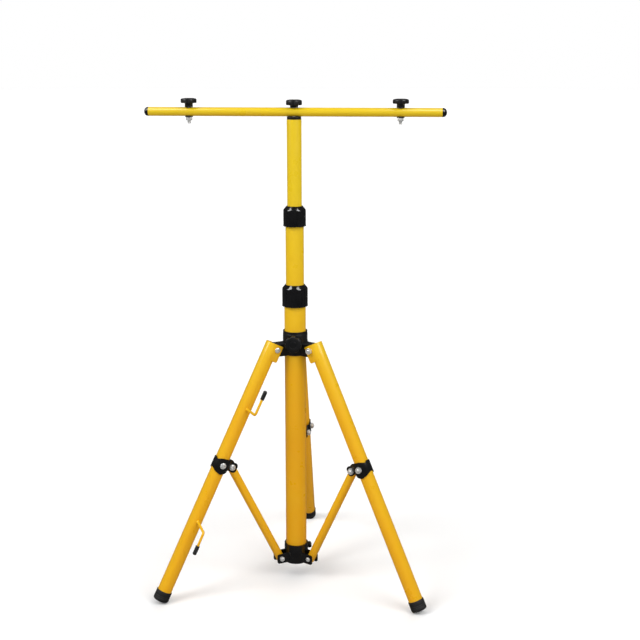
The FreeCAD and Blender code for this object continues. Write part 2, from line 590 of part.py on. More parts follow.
def strut(lower_hole):
    """A tube with rounded ends, drilled across for its two pivot bolts."""
    tube = pipe(STRUT_R, STRUT_BORE, -STRUT_END_R, STRUT_LENGTH + STRUT_END_R)
    outline = Part.makeBox(4 * STRUT_R, 2 * STRUT_R, STRUT_LENGTH, V(-2 * STRUT_R, -STRUT_R, 0))
    end = across(Part.makeCylinder(STRUT_END_R, 2 * STRUT_R, V(0, 0, -STRUT_R)))
    tube = tube.common(outline.fuse([end, end.translated(V(0, 0, STRUT_LENGTH))]))
    for radius, z in ((lower_hole, 0), (M6[0] + RUN, STRUT_LENGTH)):
        tube = tube.cut(across(Part.makeCylinder(radius, 40, V(0, 0, -20))).translated(V(0, 0, z)))
    return tube


def lower_hub():
    """A ring on the mast's foot with a pair of ears for each strut and a boss for the thumb screw."""
    hub = pipe(LOWER_HUB_R, OUTER_R - 1, LOWER_HUB_BOTTOM, LOWER_HUB_TOP)
    tip = LOWER_PIVOT_R + 8.0
    outside = EAR_INSIDE + LOWER_EAR_WALL
    pivot = V(LOWER_PIVOT_R, 0, LOWER_PIVOT_Z)
    ear = side_plate([
        (15, LOWER_PIVOT_Z - 9.5), (tip, LOWER_PIVOT_Z - 9.5, 5.0), (tip, LOWER_PIVOT_Z + 8.0, 5.0),
        (LOWER_HUB_R, LOWER_PIVOT_Z + 9.0), (15, LOWER_PIVOT_Z + 9.5)], EAR_INSIDE, outside)
    hole = across(Part.makeCylinder(M5[0] + BOLT_SLACK, 40, V(0, 0, -20))).translated(pivot)
    ears = ear.fuse(ear.mirror(ORIGIN, Y_AXIS)).cut(hole)
    for side in LEG_ANGLE:
        hub = hub.fuse(at_leg(ears, side))
    thumb_way = V(math.cos(math.radians(THUMB_ANGLE)), math.sin(math.radians(THUMB_ANGLE)), 0)
    thumb_spot = V(0, 0, THUMB_Z)
    hub = hub.fuse(rod(5.0, thumb_spot + thumb_way * OUTER_R, thumb_spot + thumb_way * THUMB_BOSS))
    hub = hub.cut(rod(M5[0] + RUN, thumb_spot, thumb_spot + thumb_way * 40))
    hub = hub.cut(Part.makeCylinder(OUTER_R, 60, V(0, 0, 20)))
    save("lower_hub", hub.removeSplitter())

    collar_top = THUMB_BACK + 1.0
    head = turned([
        (0, THUMB_BACK), (4.5, THUMB_BACK), (4.5, collar_top), (THUMB_R, collar_top, 0.6),
        (THUMB_R, THUMB_FACE, 1.4), (0, THUMB_FACE)])
    notches = []
    for i in range(18):
        angle = 2 * math.pi * i / 18
        spot = V((THUMB_R + 0.3) * math.cos(angle), (THUMB_R + 0.3) * math.sin(angle), THUMB_BACK + 0.5)
        notches.append(Part.makeCylinder(0.7, 8, spot))
    shank = Part.makeCylinder(M5[0], THUMB_BACK + 4 - OUTER_R - GAP, V(0, 0, OUTER_R + GAP))
    head = head.cut(notches).cut(shank)
    for name, shape in (("thumb_screw_head", head), ("thumb_screw_shank", shank)):
        turned_out = shape.rotated(ORIGIN, Y_AXIS, 90).rotated(ORIGIN, Z_AXIS, THUMB_ANGLE)
        save(name, turned_out.translated(thumb_spot))

    # Here the heads are on the side away from the legs' own heads
    pivot_bolt = across(bolt(M5, outside, -outside - M5[4] - 1.2)).mirror(ORIGIN, Y_AXIS).translated(pivot)
    pivot_nut = across(nut_for(M5, -outside)).mirror(ORIGIN, Y_AXIS).translated(pivot)
    save("lower_hub_bolts", Part.makeCompound([at_leg(pivot_bolt, side) for side in LEG_ANGLE]))
    save("lower_hub_nuts", Part.makeCompound([at_leg(pivot_nut, side) for side in LEG_ANGLE]))


def struts():
    """The left strut turns on its hub bolt; the other two have play there, where the linkage closes."""
    for side, play in (("left", RUN), ("right", CLOSING_SLACK), ("back", CLOSING_SLACK)):
        save("strut_" + side, at_leg(in_strut(strut(M5[0] + play)), side))


os.makedirs("parts", exist_ok=True)
mast()
mast_head()
crossbar()
upper_hub()
legs()
struts()
lower_hub()
print("strut length %.2f, lean %.3f degrees" % (STRUT_LENGTH, STRUT_LEAN))
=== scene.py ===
import math

import bmesh
import bpy
from mathutils import Matrix, Vector


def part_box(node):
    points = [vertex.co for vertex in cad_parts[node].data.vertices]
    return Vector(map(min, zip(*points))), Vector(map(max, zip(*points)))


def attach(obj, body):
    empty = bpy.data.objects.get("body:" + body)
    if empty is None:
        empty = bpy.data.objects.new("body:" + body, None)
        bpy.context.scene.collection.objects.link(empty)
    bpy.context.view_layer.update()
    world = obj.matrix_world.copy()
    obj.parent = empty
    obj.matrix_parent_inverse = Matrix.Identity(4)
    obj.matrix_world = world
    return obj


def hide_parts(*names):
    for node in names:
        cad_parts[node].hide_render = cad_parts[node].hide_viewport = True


# Yellow tripod stand for two work lights, with its legs open and both mast tubes drawn out.
# Metres. The mast stands on the origin along Z, the lamp bar lies along X and the hub's knob faces -Y.

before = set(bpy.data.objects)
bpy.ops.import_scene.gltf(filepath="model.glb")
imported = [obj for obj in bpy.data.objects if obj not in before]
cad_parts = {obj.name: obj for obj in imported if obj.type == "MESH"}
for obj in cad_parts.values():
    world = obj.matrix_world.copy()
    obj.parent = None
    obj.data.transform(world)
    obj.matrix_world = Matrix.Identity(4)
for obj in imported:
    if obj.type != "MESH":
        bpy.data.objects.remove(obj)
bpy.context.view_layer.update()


# ---- Mast tubes ----
# Three welded steel tubes that slide in each other, powder coated yellow. Their sawn ends are
# deburred, and the two lower ones end inside their twist locks.

def only(piece):
    """Selects this piece alone and makes it the active one."""
    bpy.ops.object.select_all(action="DESELECT")
    piece.select_set(True)
    bpy.context.view_layer.objects.active = piece


def fresh(name):
    """Names the primitive that was just added and opens it in edit mode, all selected."""
    piece = bpy.context.active_object
    piece.name = name
    piece.data.name = name
    bpy.ops.object.mode_set(mode="EDIT")
    bpy.ops.mesh.select_mode(type="VERT")
    bpy.ops.mesh.select_all(action="SELECT")
    return piece


def extend(way):
    """In edit mode, extrudes what is selected and moves it this way."""
    bpy.ops.mesh.extrude_region_move(TRANSFORM_OT_translate={"value": way})


def choose(piece, kind, test):
    """In edit mode, selects only the faces, edges or corners whose middle passes the test."""
    bpy.ops.mesh.select_mode(type=kind)
    bpy.ops.mesh.select_all(action="DESELECT")
    mesh = bmesh.from_edit_mesh(piece.data)
    elements = {"VERT": mesh.verts, "EDGE": mesh.edges, "FACE": mesh.faces}[kind]
    for element in elements:
        if kind == "VERT":
            middle = element.co
        elif kind == "EDGE":
            middle = (element.verts[0].co + element.verts[1].co) / 2
        else:
            middle = element.calc_center_median()
        if test(middle):
            element.select_set(True)
    mesh.select_flush_mode()
    bmesh.update_edit_mesh(piece.data)


def close_up():
    """Merges doubled corners, turns the faces outwards and leaves edit mode."""
    bpy.ops.mesh.select_mode(type="VERT")
    bpy.ops.mesh.select_all(action="SELECT")
    bpy.ops.mesh.remove_doubles(threshold=1e-6)
    bpy.ops.mesh.normals_make_consistent(inside=False)
    bpy.ops.object.mode_set(mode="OBJECT")


def worked(piece, kind, **settings):
    """Adds one modifier to the piece and applies it."""
    only(piece)
    modifier = piece.modifiers.new(kind.lower(), kind)
    for key, value in settings.items():
        setattr(modifier, key, value)
    bpy.ops.object.modifier_apply(modifier=modifier.name)


def soften(piece, width, steps=3, angle=32):
    """Rounds the piece's hard edges and shades what is left smooth."""
    worked(piece, "BEVEL", width=width, segments=steps, limit_method="ANGLE",
           angle_limit=math.radians(angle), harden_normals=False, use_clamp_overlap=True)
    only(piece)
    bpy.ops.object.shade_smooth_by_angle(angle=math.radians(38))


def put(piece, place):
    """Moves the piece's mesh to its place, and leaves its object at the origin."""
    only(piece)
    piece.matrix_world = place
    bpy.ops.object.transform_apply(location=True, rotation=True, scale=True)


def copied(piece, name):
    """A copy of the piece with its own mesh."""
    only(piece)
    bpy.ops.object.duplicate(linked=False)
    twin = bpy.context.active_object
    twin.name = name
    twin.data.name = name
    return twin


def paint(piece, material):
    """Gives the piece this material alone."""
    piece.data.materials.clear()
    piece.data.materials.append(material)


def fit(piece, body, material, slot, *nodes):
    """Gives the piece its finish and the body it moves with, and hides the solids that it stands for."""
    paint(piece, material)
    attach(piece, body)
    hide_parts(*nodes)


def round_tube(name, outer, wall, bottom, top):
    """A tube along Z, given its outer radius and its wall."""
    bpy.ops.object.select_all(action="DESELECT")
    bpy.ops.mesh.primitive_circle_add(vertices=96, radius=outer, fill_type="NOTHING")
    piece = fresh(name)
    bpy.ops.transform.translate(value=(0, 0, bottom))
    extend((0, 0, top - bottom))
    close_up()
    worked(piece, "SOLIDIFY", thickness=wall, offset=-1)
    return piece


def node_group(name, inputs, outputs):
    """An empty shader group. Inputs are (label, socket type, value), outputs (label, socket type)."""
    group = bpy.data.node_groups.new(name, "ShaderNodeTree")
    for label, kind, value in inputs:
        socket = group.interface.new_socket(name=label, in_out="INPUT", socket_type=kind)
        socket.default_value = value
    for label, kind in outputs:
        group.interface.new_socket(name=label, in_out="OUTPUT", socket_type=kind)
    return group, group.nodes.new("NodeGroupInput"), group.nodes.new("NodeGroupOutput")


def node(tree, kind, inputs=(), **settings):
    """A node with its settings. Inputs are (socket, number, colour or the output that feeds it)."""
    made = tree.nodes.new(kind)
    for key, value in settings.items():
        setattr(made, key, value)
    for socket, value in inputs:
        if isinstance(value, bpy.types.NodeSocket):
            tree.links.new(value, made.inputs[socket])
        else:
            made.inputs[socket].default_value = value
    return made


def noise(tree, place, scale, detail=2.0, roughness=0.5):
    """Random shades over the surface, from 0 to 1."""
    return node(tree, "ShaderNodeTexNoise", [
        ("Vector", place), ("Scale", scale), ("Detail", detail), ("Roughness", roughness)]).outputs["Fac"]


def blend_colour(tree, factor, first, second):
    """Mixes two colours."""
    return node(tree, "ShaderNodeMix", [(0, factor), (6, first), (7, second)],
                data_type="RGBA", clamp_factor=True).outputs[2]


def spread(tree, value, low, high, to_low, to_high):
    """Takes a value from one range to another, held at the ends."""
    return node(tree, "ShaderNodeMapRange", [
        ("Value", value), ("From Min", low), ("From Max", high), ("To Min", to_low),
        ("To Max", to_high)]).outputs["Result"]


def arithmetic(tree, operation, first, second):
    """One sum on two values, such as ADD or MULTIPLY."""
    return node(tree, "ShaderNodeMath", [(0, first), (1, second)], operation=operation).outputs[0]


# Where an edge stands proud and gets rubbed: the rounded normal leaves the true one there
rubbed_edges, inlet, outlet = node_group(
    "rubbed_edges",
    [("Width", "NodeSocketFloat", 0.0006), ("Patchiness", "NodeSocketFloat", 60.0)],
    [("Mask", "NodeSocketFloat")])
rounded = node(rubbed_edges, "ShaderNodeBevel", [("Radius", inlet.outputs["Width"])], samples=4)
true_face = node(rubbed_edges, "ShaderNodeNewGeometry")
agreement = node(rubbed_edges, "ShaderNodeVectorMath", [
    (0, rounded.outputs["Normal"]), (1, true_face.outputs["Normal"])], operation="DOT_PRODUCT")
place_on = node(rubbed_edges, "ShaderNodeTexCoord").outputs["Object"]
patches = noise(rubbed_edges, place_on, inlet.outputs["Patchiness"], 4.0)
edge = spread(rubbed_edges, agreement.outputs["Value"], 0.985, 0.86, 0.0, 1.0)
patchy = spread(rubbed_edges, patches, 0.35, 0.65, 0.15, 1.0)
rubbed_edges.links.new(arithmetic(rubbed_edges, "MULTIPLY", edge, patchy), outlet.inputs["Mask"])

# Hairlines from handling: noise drawn out long in one direction and thinned to its ridges
hairlines, inlet, outlet = node_group(
    "hairlines",
    [("Scale", "NodeSocketFloat", 300.0), ("Amount", "NodeSocketFloat", 0.5)],
    [("Mask", "NodeSocketFloat")])
place_on = node(hairlines, "ShaderNodeTexCoord").outputs["Object"]
drawn_out = node(hairlines, "ShaderNodeMapping", [
    ("Vector", place_on), ("Rotation", (0.5, 0.3, 0.7)), ("Scale", (1.0, 1.0, 0.07))])
streaks = noise(hairlines, drawn_out.outputs["Vector"], inlet.outputs["Scale"], 3.0, 0.6)
ridge = spread(hairlines, streaks, 0.62, 0.70, 0.0, 1.0)
some = spread(hairlines, noise(hairlines, place_on, 35.0), 0.5, 0.62, 0.0, 1.0)
hairline = arithmetic(hairlines, "MULTIPLY", arithmetic(hairlines, "MULTIPLY", ridge, some),
                      inlet.outputs["Amount"])
hairlines.links.new(hairline, outlet.inputs["Mask"])

# Dust that settles on what faces up
dust, inlet, outlet = node_group(
    "settled_dust", [("Amount", "NodeSocketFloat", 0.3)], [("Mask", "NodeSocketFloat")])
place_on = node(dust, "ShaderNodeTexCoord")
facing = node(dust, "ShaderNodeSeparateXYZ", [("Vector", place_on.outputs["Normal"])])
flecks = noise(dust, place_on.outputs["Object"], 420.0, 5.0, 0.7)
up = spread(dust, facing.outputs["Z"], 0.2, 1.0, 0.0, 1.0)
grains = spread(dust, flecks, 0.42, 0.72, 0.0, 1.0)
settled = arithmetic(dust, "MULTIPLY", arithmetic(dust, "MULTIPLY", up, grains),
                     inlet.outputs["Amount"])
dust.links.new(settled, outlet.inputs["Mask"])


def placed_group(tree, group, **values):
    """A group set in a material's nodes, with its own values."""
    made = tree.nodes.new("ShaderNodeGroup")
    made.node_tree = group
    for label, value in values.items():
        made.inputs[label].default_value = value
    return made.outputs["Mask"]


def new_finish(name, **constants):
    """A material: its node tree, its Principled shader and the place on the piece."""
    material = bpy.data.materials.new(name)
    material.use_nodes = True
    tree = material.node_tree
    shader = tree.nodes["Principled BSDF"]
    for label, value in constants.items():
        shader.inputs[label.replace("_", " ")].default_value = value
    return material, tree, shader, tree.nodes.new("ShaderNodeTexCoord").outputs["Object"]


def bump(tree, shader, height, strength, distance):
    """Raises the surface by a height before it is lit."""
    raised = node(tree, "ShaderNodeBump", [
        ("Height", height), ("Strength", strength), ("Distance", distance)])
    tree.links.new(raised.outputs["Normal"], shader.inputs["Normal"])


# Powder coat: orange peel and slow drifts of tone. Painted highlight: paler where it faces up. Painted
# shade: deeper orange where it faces down and low on the stand. Also deeper orange where it is thin on an
# edge
# The first two are the lit and the shaded colour of the one yellow paint, mixed below as painted light;
# the last two are wear
LIT_LEMON = (0.86, 0.60, 0.012, 1)
SHADED_AMBER = (0.88, 0.42, 0.007, 1)
THIN_COAT = (0.50, 0.17, 0.006, 1)
SCUFFED_COAT = (0.82, 0.52, 0.10, 1)
yellow_coat, tree, shader, where = new_finish(
    "yellow_powder_coat", IOR=1.45, Coat_Weight=0.15, Coat_Roughness=0.15, Specular_IOR_Level=0.35)
height_up = node(tree, "ShaderNodeSeparateXYZ", [("Vector", where)]).outputs["Z"]
facing = node(tree, "ShaderNodeTexCoord").outputs["Normal"]
facing_up = node(tree, "ShaderNodeSeparateXYZ", [("Vector", facing)]).outputs["Z"]
drift = noise(tree, where, 9.0, 3.0)
# Painted shade: the mix leans to the shaded amber low on the stand, plus a slow random drift of tone
painted_light_and_drift = arithmetic(tree, "ADD", spread(tree, height_up, 0.32, 0.78, 0.92, 0.0),
                  spread(tree, drift, 0.3, 0.7, -0.12, 0.12))
# Painted highlight where the surface faces up, painted shade where it faces down
painted_light_and_drift = arithmetic(tree, "SUBTRACT", painted_light_and_drift, spread(tree, facing_up, -0.5, 0.5, -0.30, 0.30))
shade = blend_colour(tree, painted_light_and_drift, LIT_LEMON, SHADED_AMBER)
worn = placed_group(tree, rubbed_edges, Width=0.0009, Patchiness=90.0)
shade = blend_colour(tree, arithmetic(tree, "MULTIPLY", worn, 0.75), shade, THIN_COAT)
scuff = placed_group(tree, hairlines, Scale=260.0, Amount=0.15)
shade = blend_colour(tree, scuff, shade, SCUFFED_COAT)
tree.links.new(shade, shader.inputs["Base Color"])
matt = spread(tree, noise(tree, where, 45.0, 4.0), 0.3, 0.7, 0.26, 0.38)
tree.links.new(arithmetic(tree, "ADD", matt, arithmetic(tree, "MULTIPLY", scuff, 0.3)),
               shader.inputs["Roughness"])
orange_peel = noise(tree, where, 620.0, 2.0, 0.45)
bump(tree, shader, orange_peel, 0.28, 0.00025)

MAST_R = 0.0190
STOUT_WALL = 0.0012
for name, body, radius in (("outer_tube", "mast_base", MAST_R), ("middle_tube", "middle_mast", 0.0160),
                           ("top_tube", "top_mast", 0.0127)):
    low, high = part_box(name)
    tube = round_tube("mast_" + name, radius, STOUT_WALL, low.z, high.z)
    soften(tube, 0.0003)
    fit(tube, body, yellow_coat, "yellow_paint", name)


# ---- Twist locks ----
# A fluted nut of glossy black nylon on the end of each larger tube. Its rounded shoulder squeezes
# a split collet inside it on the smaller tube.

def drawn_line(name, points, y=0):
    """Starts a piece as a line of corners through (x, z) points, left in edit mode, all selected."""
    bpy.ops.object.select_all(action="DESELECT")
    bpy.ops.mesh.primitive_plane_add(size=0.001)
    piece = fresh(name)
    bpy.ops.mesh.merge(type="CENTER")
    bpy.ops.transform.translate(value=(points[0][0], y, points[0][1]))
    for (x0, z0), (x1, z1) in zip(points, points[1:]):
        extend((x1 - x0, 0, z1 - z0))
    bpy.ops.mesh.select_all(action="SELECT")
    return piece


def turn(name, profile, steps=96):
    """A round piece along Z: its profile of (radius, height) points is drawn, then spun."""
    piece = drawn_line(name, profile)
    bpy.ops.mesh.spin(steps=steps, angle=2 * math.pi, center=(0, 0, 0), axis=(0, 0, 1))
    close_up()
    return piece


def arc(centre_r, centre_z, radius, start, end, steps=6):
    """Profile points along an arc, angles in degrees from the outward direction."""
    points = []
    for i in range(steps + 1):
        angle = math.radians(start + (end - start) * i / steps)
        points.append((centre_r + radius * math.cos(angle), centre_z + radius * math.sin(angle)))
    return points


moulded_grain, inlet, outlet = node_group(
    "moulded_grain",
    [("Scale", "NodeSocketFloat", 2500.0), ("Pits", "NodeSocketFloat", 0.3)],
    [("Mask", "NodeSocketFloat")])
place_on = node(moulded_grain, "ShaderNodeTexCoord").outputs["Object"]
fine = noise(moulded_grain, place_on, inlet.outputs["Scale"], 3.0)
pits = node(moulded_grain, "ShaderNodeTexVoronoi", [("Vector", place_on), ("Scale", 900.0)], feature="F1")
pitted = spread(moulded_grain, pits.outputs["Distance"], 0.0, 0.35, 1.0, 0.0)
pitted = arithmetic(moulded_grain, "MULTIPLY", pitted, inlet.outputs["Pits"])
moulded_grain.links.new(arithmetic(moulded_grain, "SUBTRACT", fine, pitted), outlet.inputs["Mask"])

DUST_GREY = (0.36, 0.34, 0.30, 1)


def moulded_finish(name, dark, worn_colour, rough, width, dust_amount, scratch, grain, relief,
                   **constants):
    """Black moulded plastic, rubber or enamel: grain, rubbed edges, hairlines and a little dust."""
    material, tree, shader, where = new_finish(name, **constants)
    cloud = noise(tree, where, 55.0, 4.0)
    brighter = tuple(min(1, value * 1.7 + 0.002) for value in dark[:3]) + (1,)
    colour = blend_colour(tree, spread(tree, cloud, 0.3, 0.7, 0.0, 1.0), dark, brighter)
    edge = placed_group(tree, rubbed_edges, Width=width, Patchiness=130.0)
    colour = blend_colour(tree, edge, colour, worn_colour)
    line = placed_group(tree, hairlines, Scale=420.0, Amount=scratch)
    colour = blend_colour(tree, arithmetic(tree, "MULTIPLY", line, 0.5), colour, worn_colour)
    settled = placed_group(tree, dust, Amount=dust_amount)
    colour = blend_colour(tree, settled, colour, DUST_GREY)
    tree.links.new(colour, shader.inputs["Base Color"])
    roughness = spread(tree, cloud, 0.3, 0.7, rough - 0.06, rough + 0.06)
    roughness = arithmetic(tree, "ADD", roughness, arithmetic(tree, "MULTIPLY", line, 0.25))
    roughness = arithmetic(tree, "ADD", roughness, arithmetic(tree, "MULTIPLY", settled, 0.5))
    tree.links.new(roughness, shader.inputs["Roughness"])
    height = placed_group(tree, moulded_grain, Scale=grain, Pits=0.25)
    bump(tree, shader, height, relief, 0.0002)
    return material


glossy_nylon = moulded_finish(
    "glossy_black_nylon", (0.0025, 0.0025, 0.003, 1), (0.012, 0.012, 0.013, 1),
    rough=0.15, width=0.0005, dust_amount=0.03, scratch=0.15, grain=1400.0, relief=0.10,
    IOR=1.53)

FLUTES = 20
STEPS_PER_FLUTE = 8
# The share of its radius that each line of corners keeps, counted from the flute's middle line
FLUTE_PUSH = {-2: 0.986, -1: 0.958, 0: 0.944, 1: 0.958, 2: 0.986}
SHOULDER_DROP, SHOULDER_R = 0.0085, 0.0052
THREAD_DEPTH, MOUTH_DEPTH = 0.0222, 0.0042


def twist_nut(name, radius, bore, thread, low, high):
    """The nut's shell: lip, fluted skirt, rounded cone and the smaller hole at its top."""
    shoulder = high - SHOULDER_DROP
    lip = radius + 0.0002
    profile = [
        (thread, low), (lip, low), (lip, low + 0.0022), (radius, low + 0.0032), (radius, low + 0.0040),
        (radius, low + 0.0078), (radius, shoulder - 0.0024), (radius, shoulder - 0.0014)]
    profile += arc(radius - SHOULDER_R, shoulder, SHOULDER_R, 0, 42, 8)
    profile += [
        (radius - 0.0056, high), (bore, high), (bore, high - MOUTH_DEPTH),
        (bore + 0.0021, high - MOUTH_DEPTH), (thread - 0.0004, low + THREAD_DEPTH),
        (thread, low + THREAD_DEPTH), (thread, low)]
    piece = turn(name, profile, FLUTES * STEPS_PER_FLUTE)
    only(piece)
    bpy.ops.object.mode_set(mode="EDIT")
    for step, factor in FLUTE_PUSH.items():
        def in_flute(spot):
            turned = math.degrees(math.atan2(spot.y, spot.x)) * FLUTES * STEPS_PER_FLUTE / 360
            off = (turned - step) % STEPS_PER_FLUTE
            on_skirt = low + 0.0060 < spot.z < shoulder - 0.0020
            return on_skirt and min(off, STEPS_PER_FLUTE - off) < 0.3 and spot.xy.length > radius - 0.0002
        choose(piece, "VERT", in_flute)
        bpy.ops.transform.resize(value=(factor, factor, 1), center_override=(0, 0, 0))
    bpy.ops.object.mode_set(mode="OBJECT")
    soften(piece, 0.0004, 3, 30)
    return piece


for name, body, radius, bore, thread in (
        ("lower_twist_nut", "lower_nut", 0.0226, 0.0164, 0.0213),
        ("upper_twist_nut", "upper_nut", 0.0197, 0.0131, 0.0183)):
    low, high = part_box(name)
    lock = twist_nut(name.replace("twist_nut", "lock_shell"), radius, bore, thread, low.z, high.z)
    fit(lock, body, glossy_nylon, "gloss_black_nylon", name)


# ---- Upper hub ----
# A black nylon moulding that slides on the outer tube: a collar, a solid ear for each leg, and a
# boss in front for the knob's screw. Its upper rim is slightly thinner.

satin_nylon = moulded_finish(
    "satin_black_nylon", (0.003, 0.003, 0.0035, 1), (0.018, 0.018, 0.019, 1),
    rough=0.40, width=0.0007, dust_amount=0.06, scratch=0.12, grain=2200.0, relief=0.30,
    IOR=1.5)


def joined_with(piece, other, operation="UNION"):
    """Unites the piece with another, or cuts it by the other, which is used up."""
    worked(piece, "BOOLEAN", object=other, operation=operation, solver="EXACT")
    bpy.data.objects.remove(other)


def bar_stock(name, radius, start, end, corners=64):
    """A round bar between two points, to unite or to cut with."""
    start, end = Vector(start), Vector(end)
    bpy.ops.object.select_all(action="DESELECT")
    bpy.ops.mesh.primitive_cylinder_add(vertices=corners, radius=radius, depth=(end - start).length)
    piece = bpy.context.active_object
    piece.name = name
    turned = (end - start).to_track_quat("Z", "Y").to_matrix().to_4x4()
    put(piece, Matrix.Translation((start + end) / 2) @ turned)
    return piece


def side_plate(name, outline, half, rounding, steps=8):
    """A plate across Y: its (x, z) outline is drawn, its corners rounded, filled and thickened.

    rounding has a radius for each corner."""
    piece = drawn_line(name, outline, -half)
    bpy.ops.mesh.edge_face_add()
    for (x, z), radius in zip(outline, rounding):
        if radius:
            choose(piece, "VERT", lambda spot: abs(spot.x - x) + abs(spot.z - z) < 1e-5)
            bpy.ops.mesh.bevel(offset=radius, segments=steps, affect="VERTICES", offset_type="WIDTH")
    bpy.ops.mesh.select_mode(type="FACE")
    bpy.ops.mesh.select_all(action="SELECT")
    extend((0, 2 * half, 0))
    close_up()
    return piece


LEG_DIRECTION = {"left": 210.0, "right": 330.0, "back": 90.0}


def about(axis, degrees):
    """A turn about one of the axes."""
    return Matrix.Rotation(math.radians(degrees), 4, axis)


def round_the_mast(side):
    """From a leg's side of the mast, taken along +X, to where that leg stands."""
    return about("Z", LEG_DIRECTION[side])


HUB_R, HUB_BORE, RIM_R = 0.0220, 0.0197, 0.0217
EAR_REACH, EAR_TOP, EAR_HALF, EAR_ROUND = 0.0495, 0.4518, 0.0111, 0.0090
PIVOT_HOLE = 0.00305
pivot_r, pivot_z = 0.0400, 0.4423
knob_z = 0.4543
hub_low, hub_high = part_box("upper_hub")
hub = turn("sliding_hub", [
    (0.0010, hub_low.z), (HUB_R, hub_low.z), (HUB_R, hub_high.z - 0.0050), (RIM_R, hub_high.z - 0.0046),
    (RIM_R, hub_high.z), (0.0010, hub_high.z), (0.0010, hub_low.z)], 128)
ear = side_plate("ear", [
    (0.0050, hub_low.z), (EAR_REACH, hub_low.z), (EAR_REACH, EAR_TOP), (0.0210, EAR_TOP),
    (0.0050, 0.4563)], EAR_HALF, [0, EAR_ROUND, EAR_ROUND, 0, 0])
for side in LEG_DIRECTION:
    twin = copied(ear, "ear_" + side)
    put(twin, round_the_mast(side))
    joined_with(hub, twin)
bpy.data.objects.remove(ear)
joined_with(hub, bar_stock("boss", 0.0080, (0, -0.010, knob_z), (0, -0.0286, knob_z)))
joined_with(hub, bar_stock("bore", HUB_BORE, (0, 0, 0.40), (0, 0, 0.50), 128), "DIFFERENCE")
joined_with(hub, bar_stock("screw_hole", 0.0032, (0, 0, knob_z), (0, -0.0300, knob_z), 32), "DIFFERENCE")
for side in LEG_DIRECTION:
    pivot = bar_stock("pivot", PIVOT_HOLE, (pivot_r, -0.03, pivot_z), (pivot_r, 0.03, pivot_z), 32)
    put(pivot, round_the_mast(side))
    joined_with(hub, pivot, "DIFFERENCE")
worked(hub, "WELD", merge_threshold=0.00002)
soften(hub, 0.0005, 3, 35)
fit(hub, "upper_hub", satin_nylon, "black_nylon", "upper_hub")


# ---- Star knobs ----
# Black nylon knobs with seven lobes, moulded round their screws: one clamps the hub, two hold the
# lamps' studs on the bar, and one holds the bar on the mast.

LOBES = 7
STEPS_PER_LOBE = 16
NECK_R, VALLEY_R, VALLEY_OUT = 0.0069, 0.0042, 0.0020


def star_knob(name, radius, bottom, top, neck_bottom):
    """A knob along Z, one lobe towards +Y: neck, flat underside, domed face with a shallow cap."""
    rim = min(0.0026, (top - bottom) * 0.3)
    profile = [
        (0.0, neck_bottom), (NECK_R, neck_bottom), (NECK_R, bottom - 0.0003), (NECK_R + 0.0006, bottom),
        (radius - 0.0011, bottom), (radius - 0.0002, bottom + 0.0007), (radius, bottom + 0.0016)]
    profile += arc(radius - rim, top - 0.0008 - rim, rim, 4, 74)
    profile += [
        (radius * 0.62, top - 0.0002), (radius * 0.46, top - 0.0001), (radius * 0.44, top - 0.0006),
        (radius * 0.41, top - 0.0006), (radius * 0.39, top - 0.0002), (0.0, top - 0.0001)]
    piece = turn(name, profile, LOBES * STEPS_PER_LOBE)
    for i in range(LOBES):
        angle = 2 * math.pi * (i + 0.5) / LOBES
        x, y = (radius + VALLEY_OUT) * math.sin(angle), (radius + VALLEY_OUT) * math.cos(angle)
        valley = bar_stock("valley", VALLEY_R, (x, y, neck_bottom - 0.001), (x, y, top + 0.001), 48)
        joined_with(piece, valley, "DIFFERENCE")
    worked(piece, "WELD", merge_threshold=0.00001)
    soften(piece, 0.0005, 3, 35)
    return piece


towards_front = Matrix.Translation((0, 0, knob_z)) @ about("X", 90)
grip = star_knob("hub_grip", 0.0150, bottom=0.0300, top=0.0400, neck_bottom=0.0289)
put(grip, towards_front)
fit(grip, "hub_knob", satin_nylon, "black_nylon", "hub_knob")

bar_top = 0.8633
BAR_KNOB_R = 0.01375
grip = star_knob("centre_grip", BAR_KNOB_R, bottom=0.8670, top=0.8765, neck_bottom=bar_top)
fit(grip, "centre_knob", satin_nylon, "black_nylon", "centre_knob")

lamp_x = 0.1815
grip = star_knob("lamp_grip", BAR_KNOB_R, bottom=0.8701, top=0.8784, neck_bottom=bar_top)
for side, x in (("left", -lamp_x), ("right", lamp_x)):
    twin = copied(grip, "lamp_grip_" + side)
    put(twin, Matrix.Translation((x, 0, 0)))
    fit(twin, "lamp_knob_" + side, satin_nylon, "black_nylon", "lamp_knob_" + side)
bpy.data.objects.remove(grip)


# ---- Screws and nuts ----
# Zinc plated steel: pan heads with a cross recess on one side of each pivot and a hexagon nut on
# the other, with the screw's threaded tip standing out of it.

ZINC = (0.78, 0.78, 0.77, 1)
BRIGHT_ZINC = (0.90, 0.90, 0.88, 1)
GREY_ZINC = (0.34, 0.34, 0.33, 1)
bright_zinc, tree, shader, where = new_finish("bright_zinc", Metallic=0.55)
cloud = noise(tree, where, 240.0, 5.0)
spangle = blend_colour(tree, spread(tree, cloud, 0.3, 0.7, 0.0, 1.0), ZINC, BRIGHT_ZINC)
worn = placed_group(tree, rubbed_edges, Width=0.0003, Patchiness=300.0)
spangle = blend_colour(tree, arithmetic(tree, "MULTIPLY", worn, 0.6), spangle, BRIGHT_ZINC)
line = placed_group(tree, hairlines, Scale=900.0, Amount=0.8)
spangle = blend_colour(tree, line, spangle, GREY_ZINC)
tree.links.new(spangle, shader.inputs["Base Color"])
tree.links.new(arithmetic(tree, "ADD", spread(tree, cloud, 0.3, 0.7, 0.20, 0.36),
                          arithmetic(tree, "MULTIPLY", line, 0.2)), shader.inputs["Roughness"])
bump(tree, shader, arithmetic(tree, "SUBTRACT", cloud, line), 0.15, 0.0001)

THREAD_PITCH = 0.0010


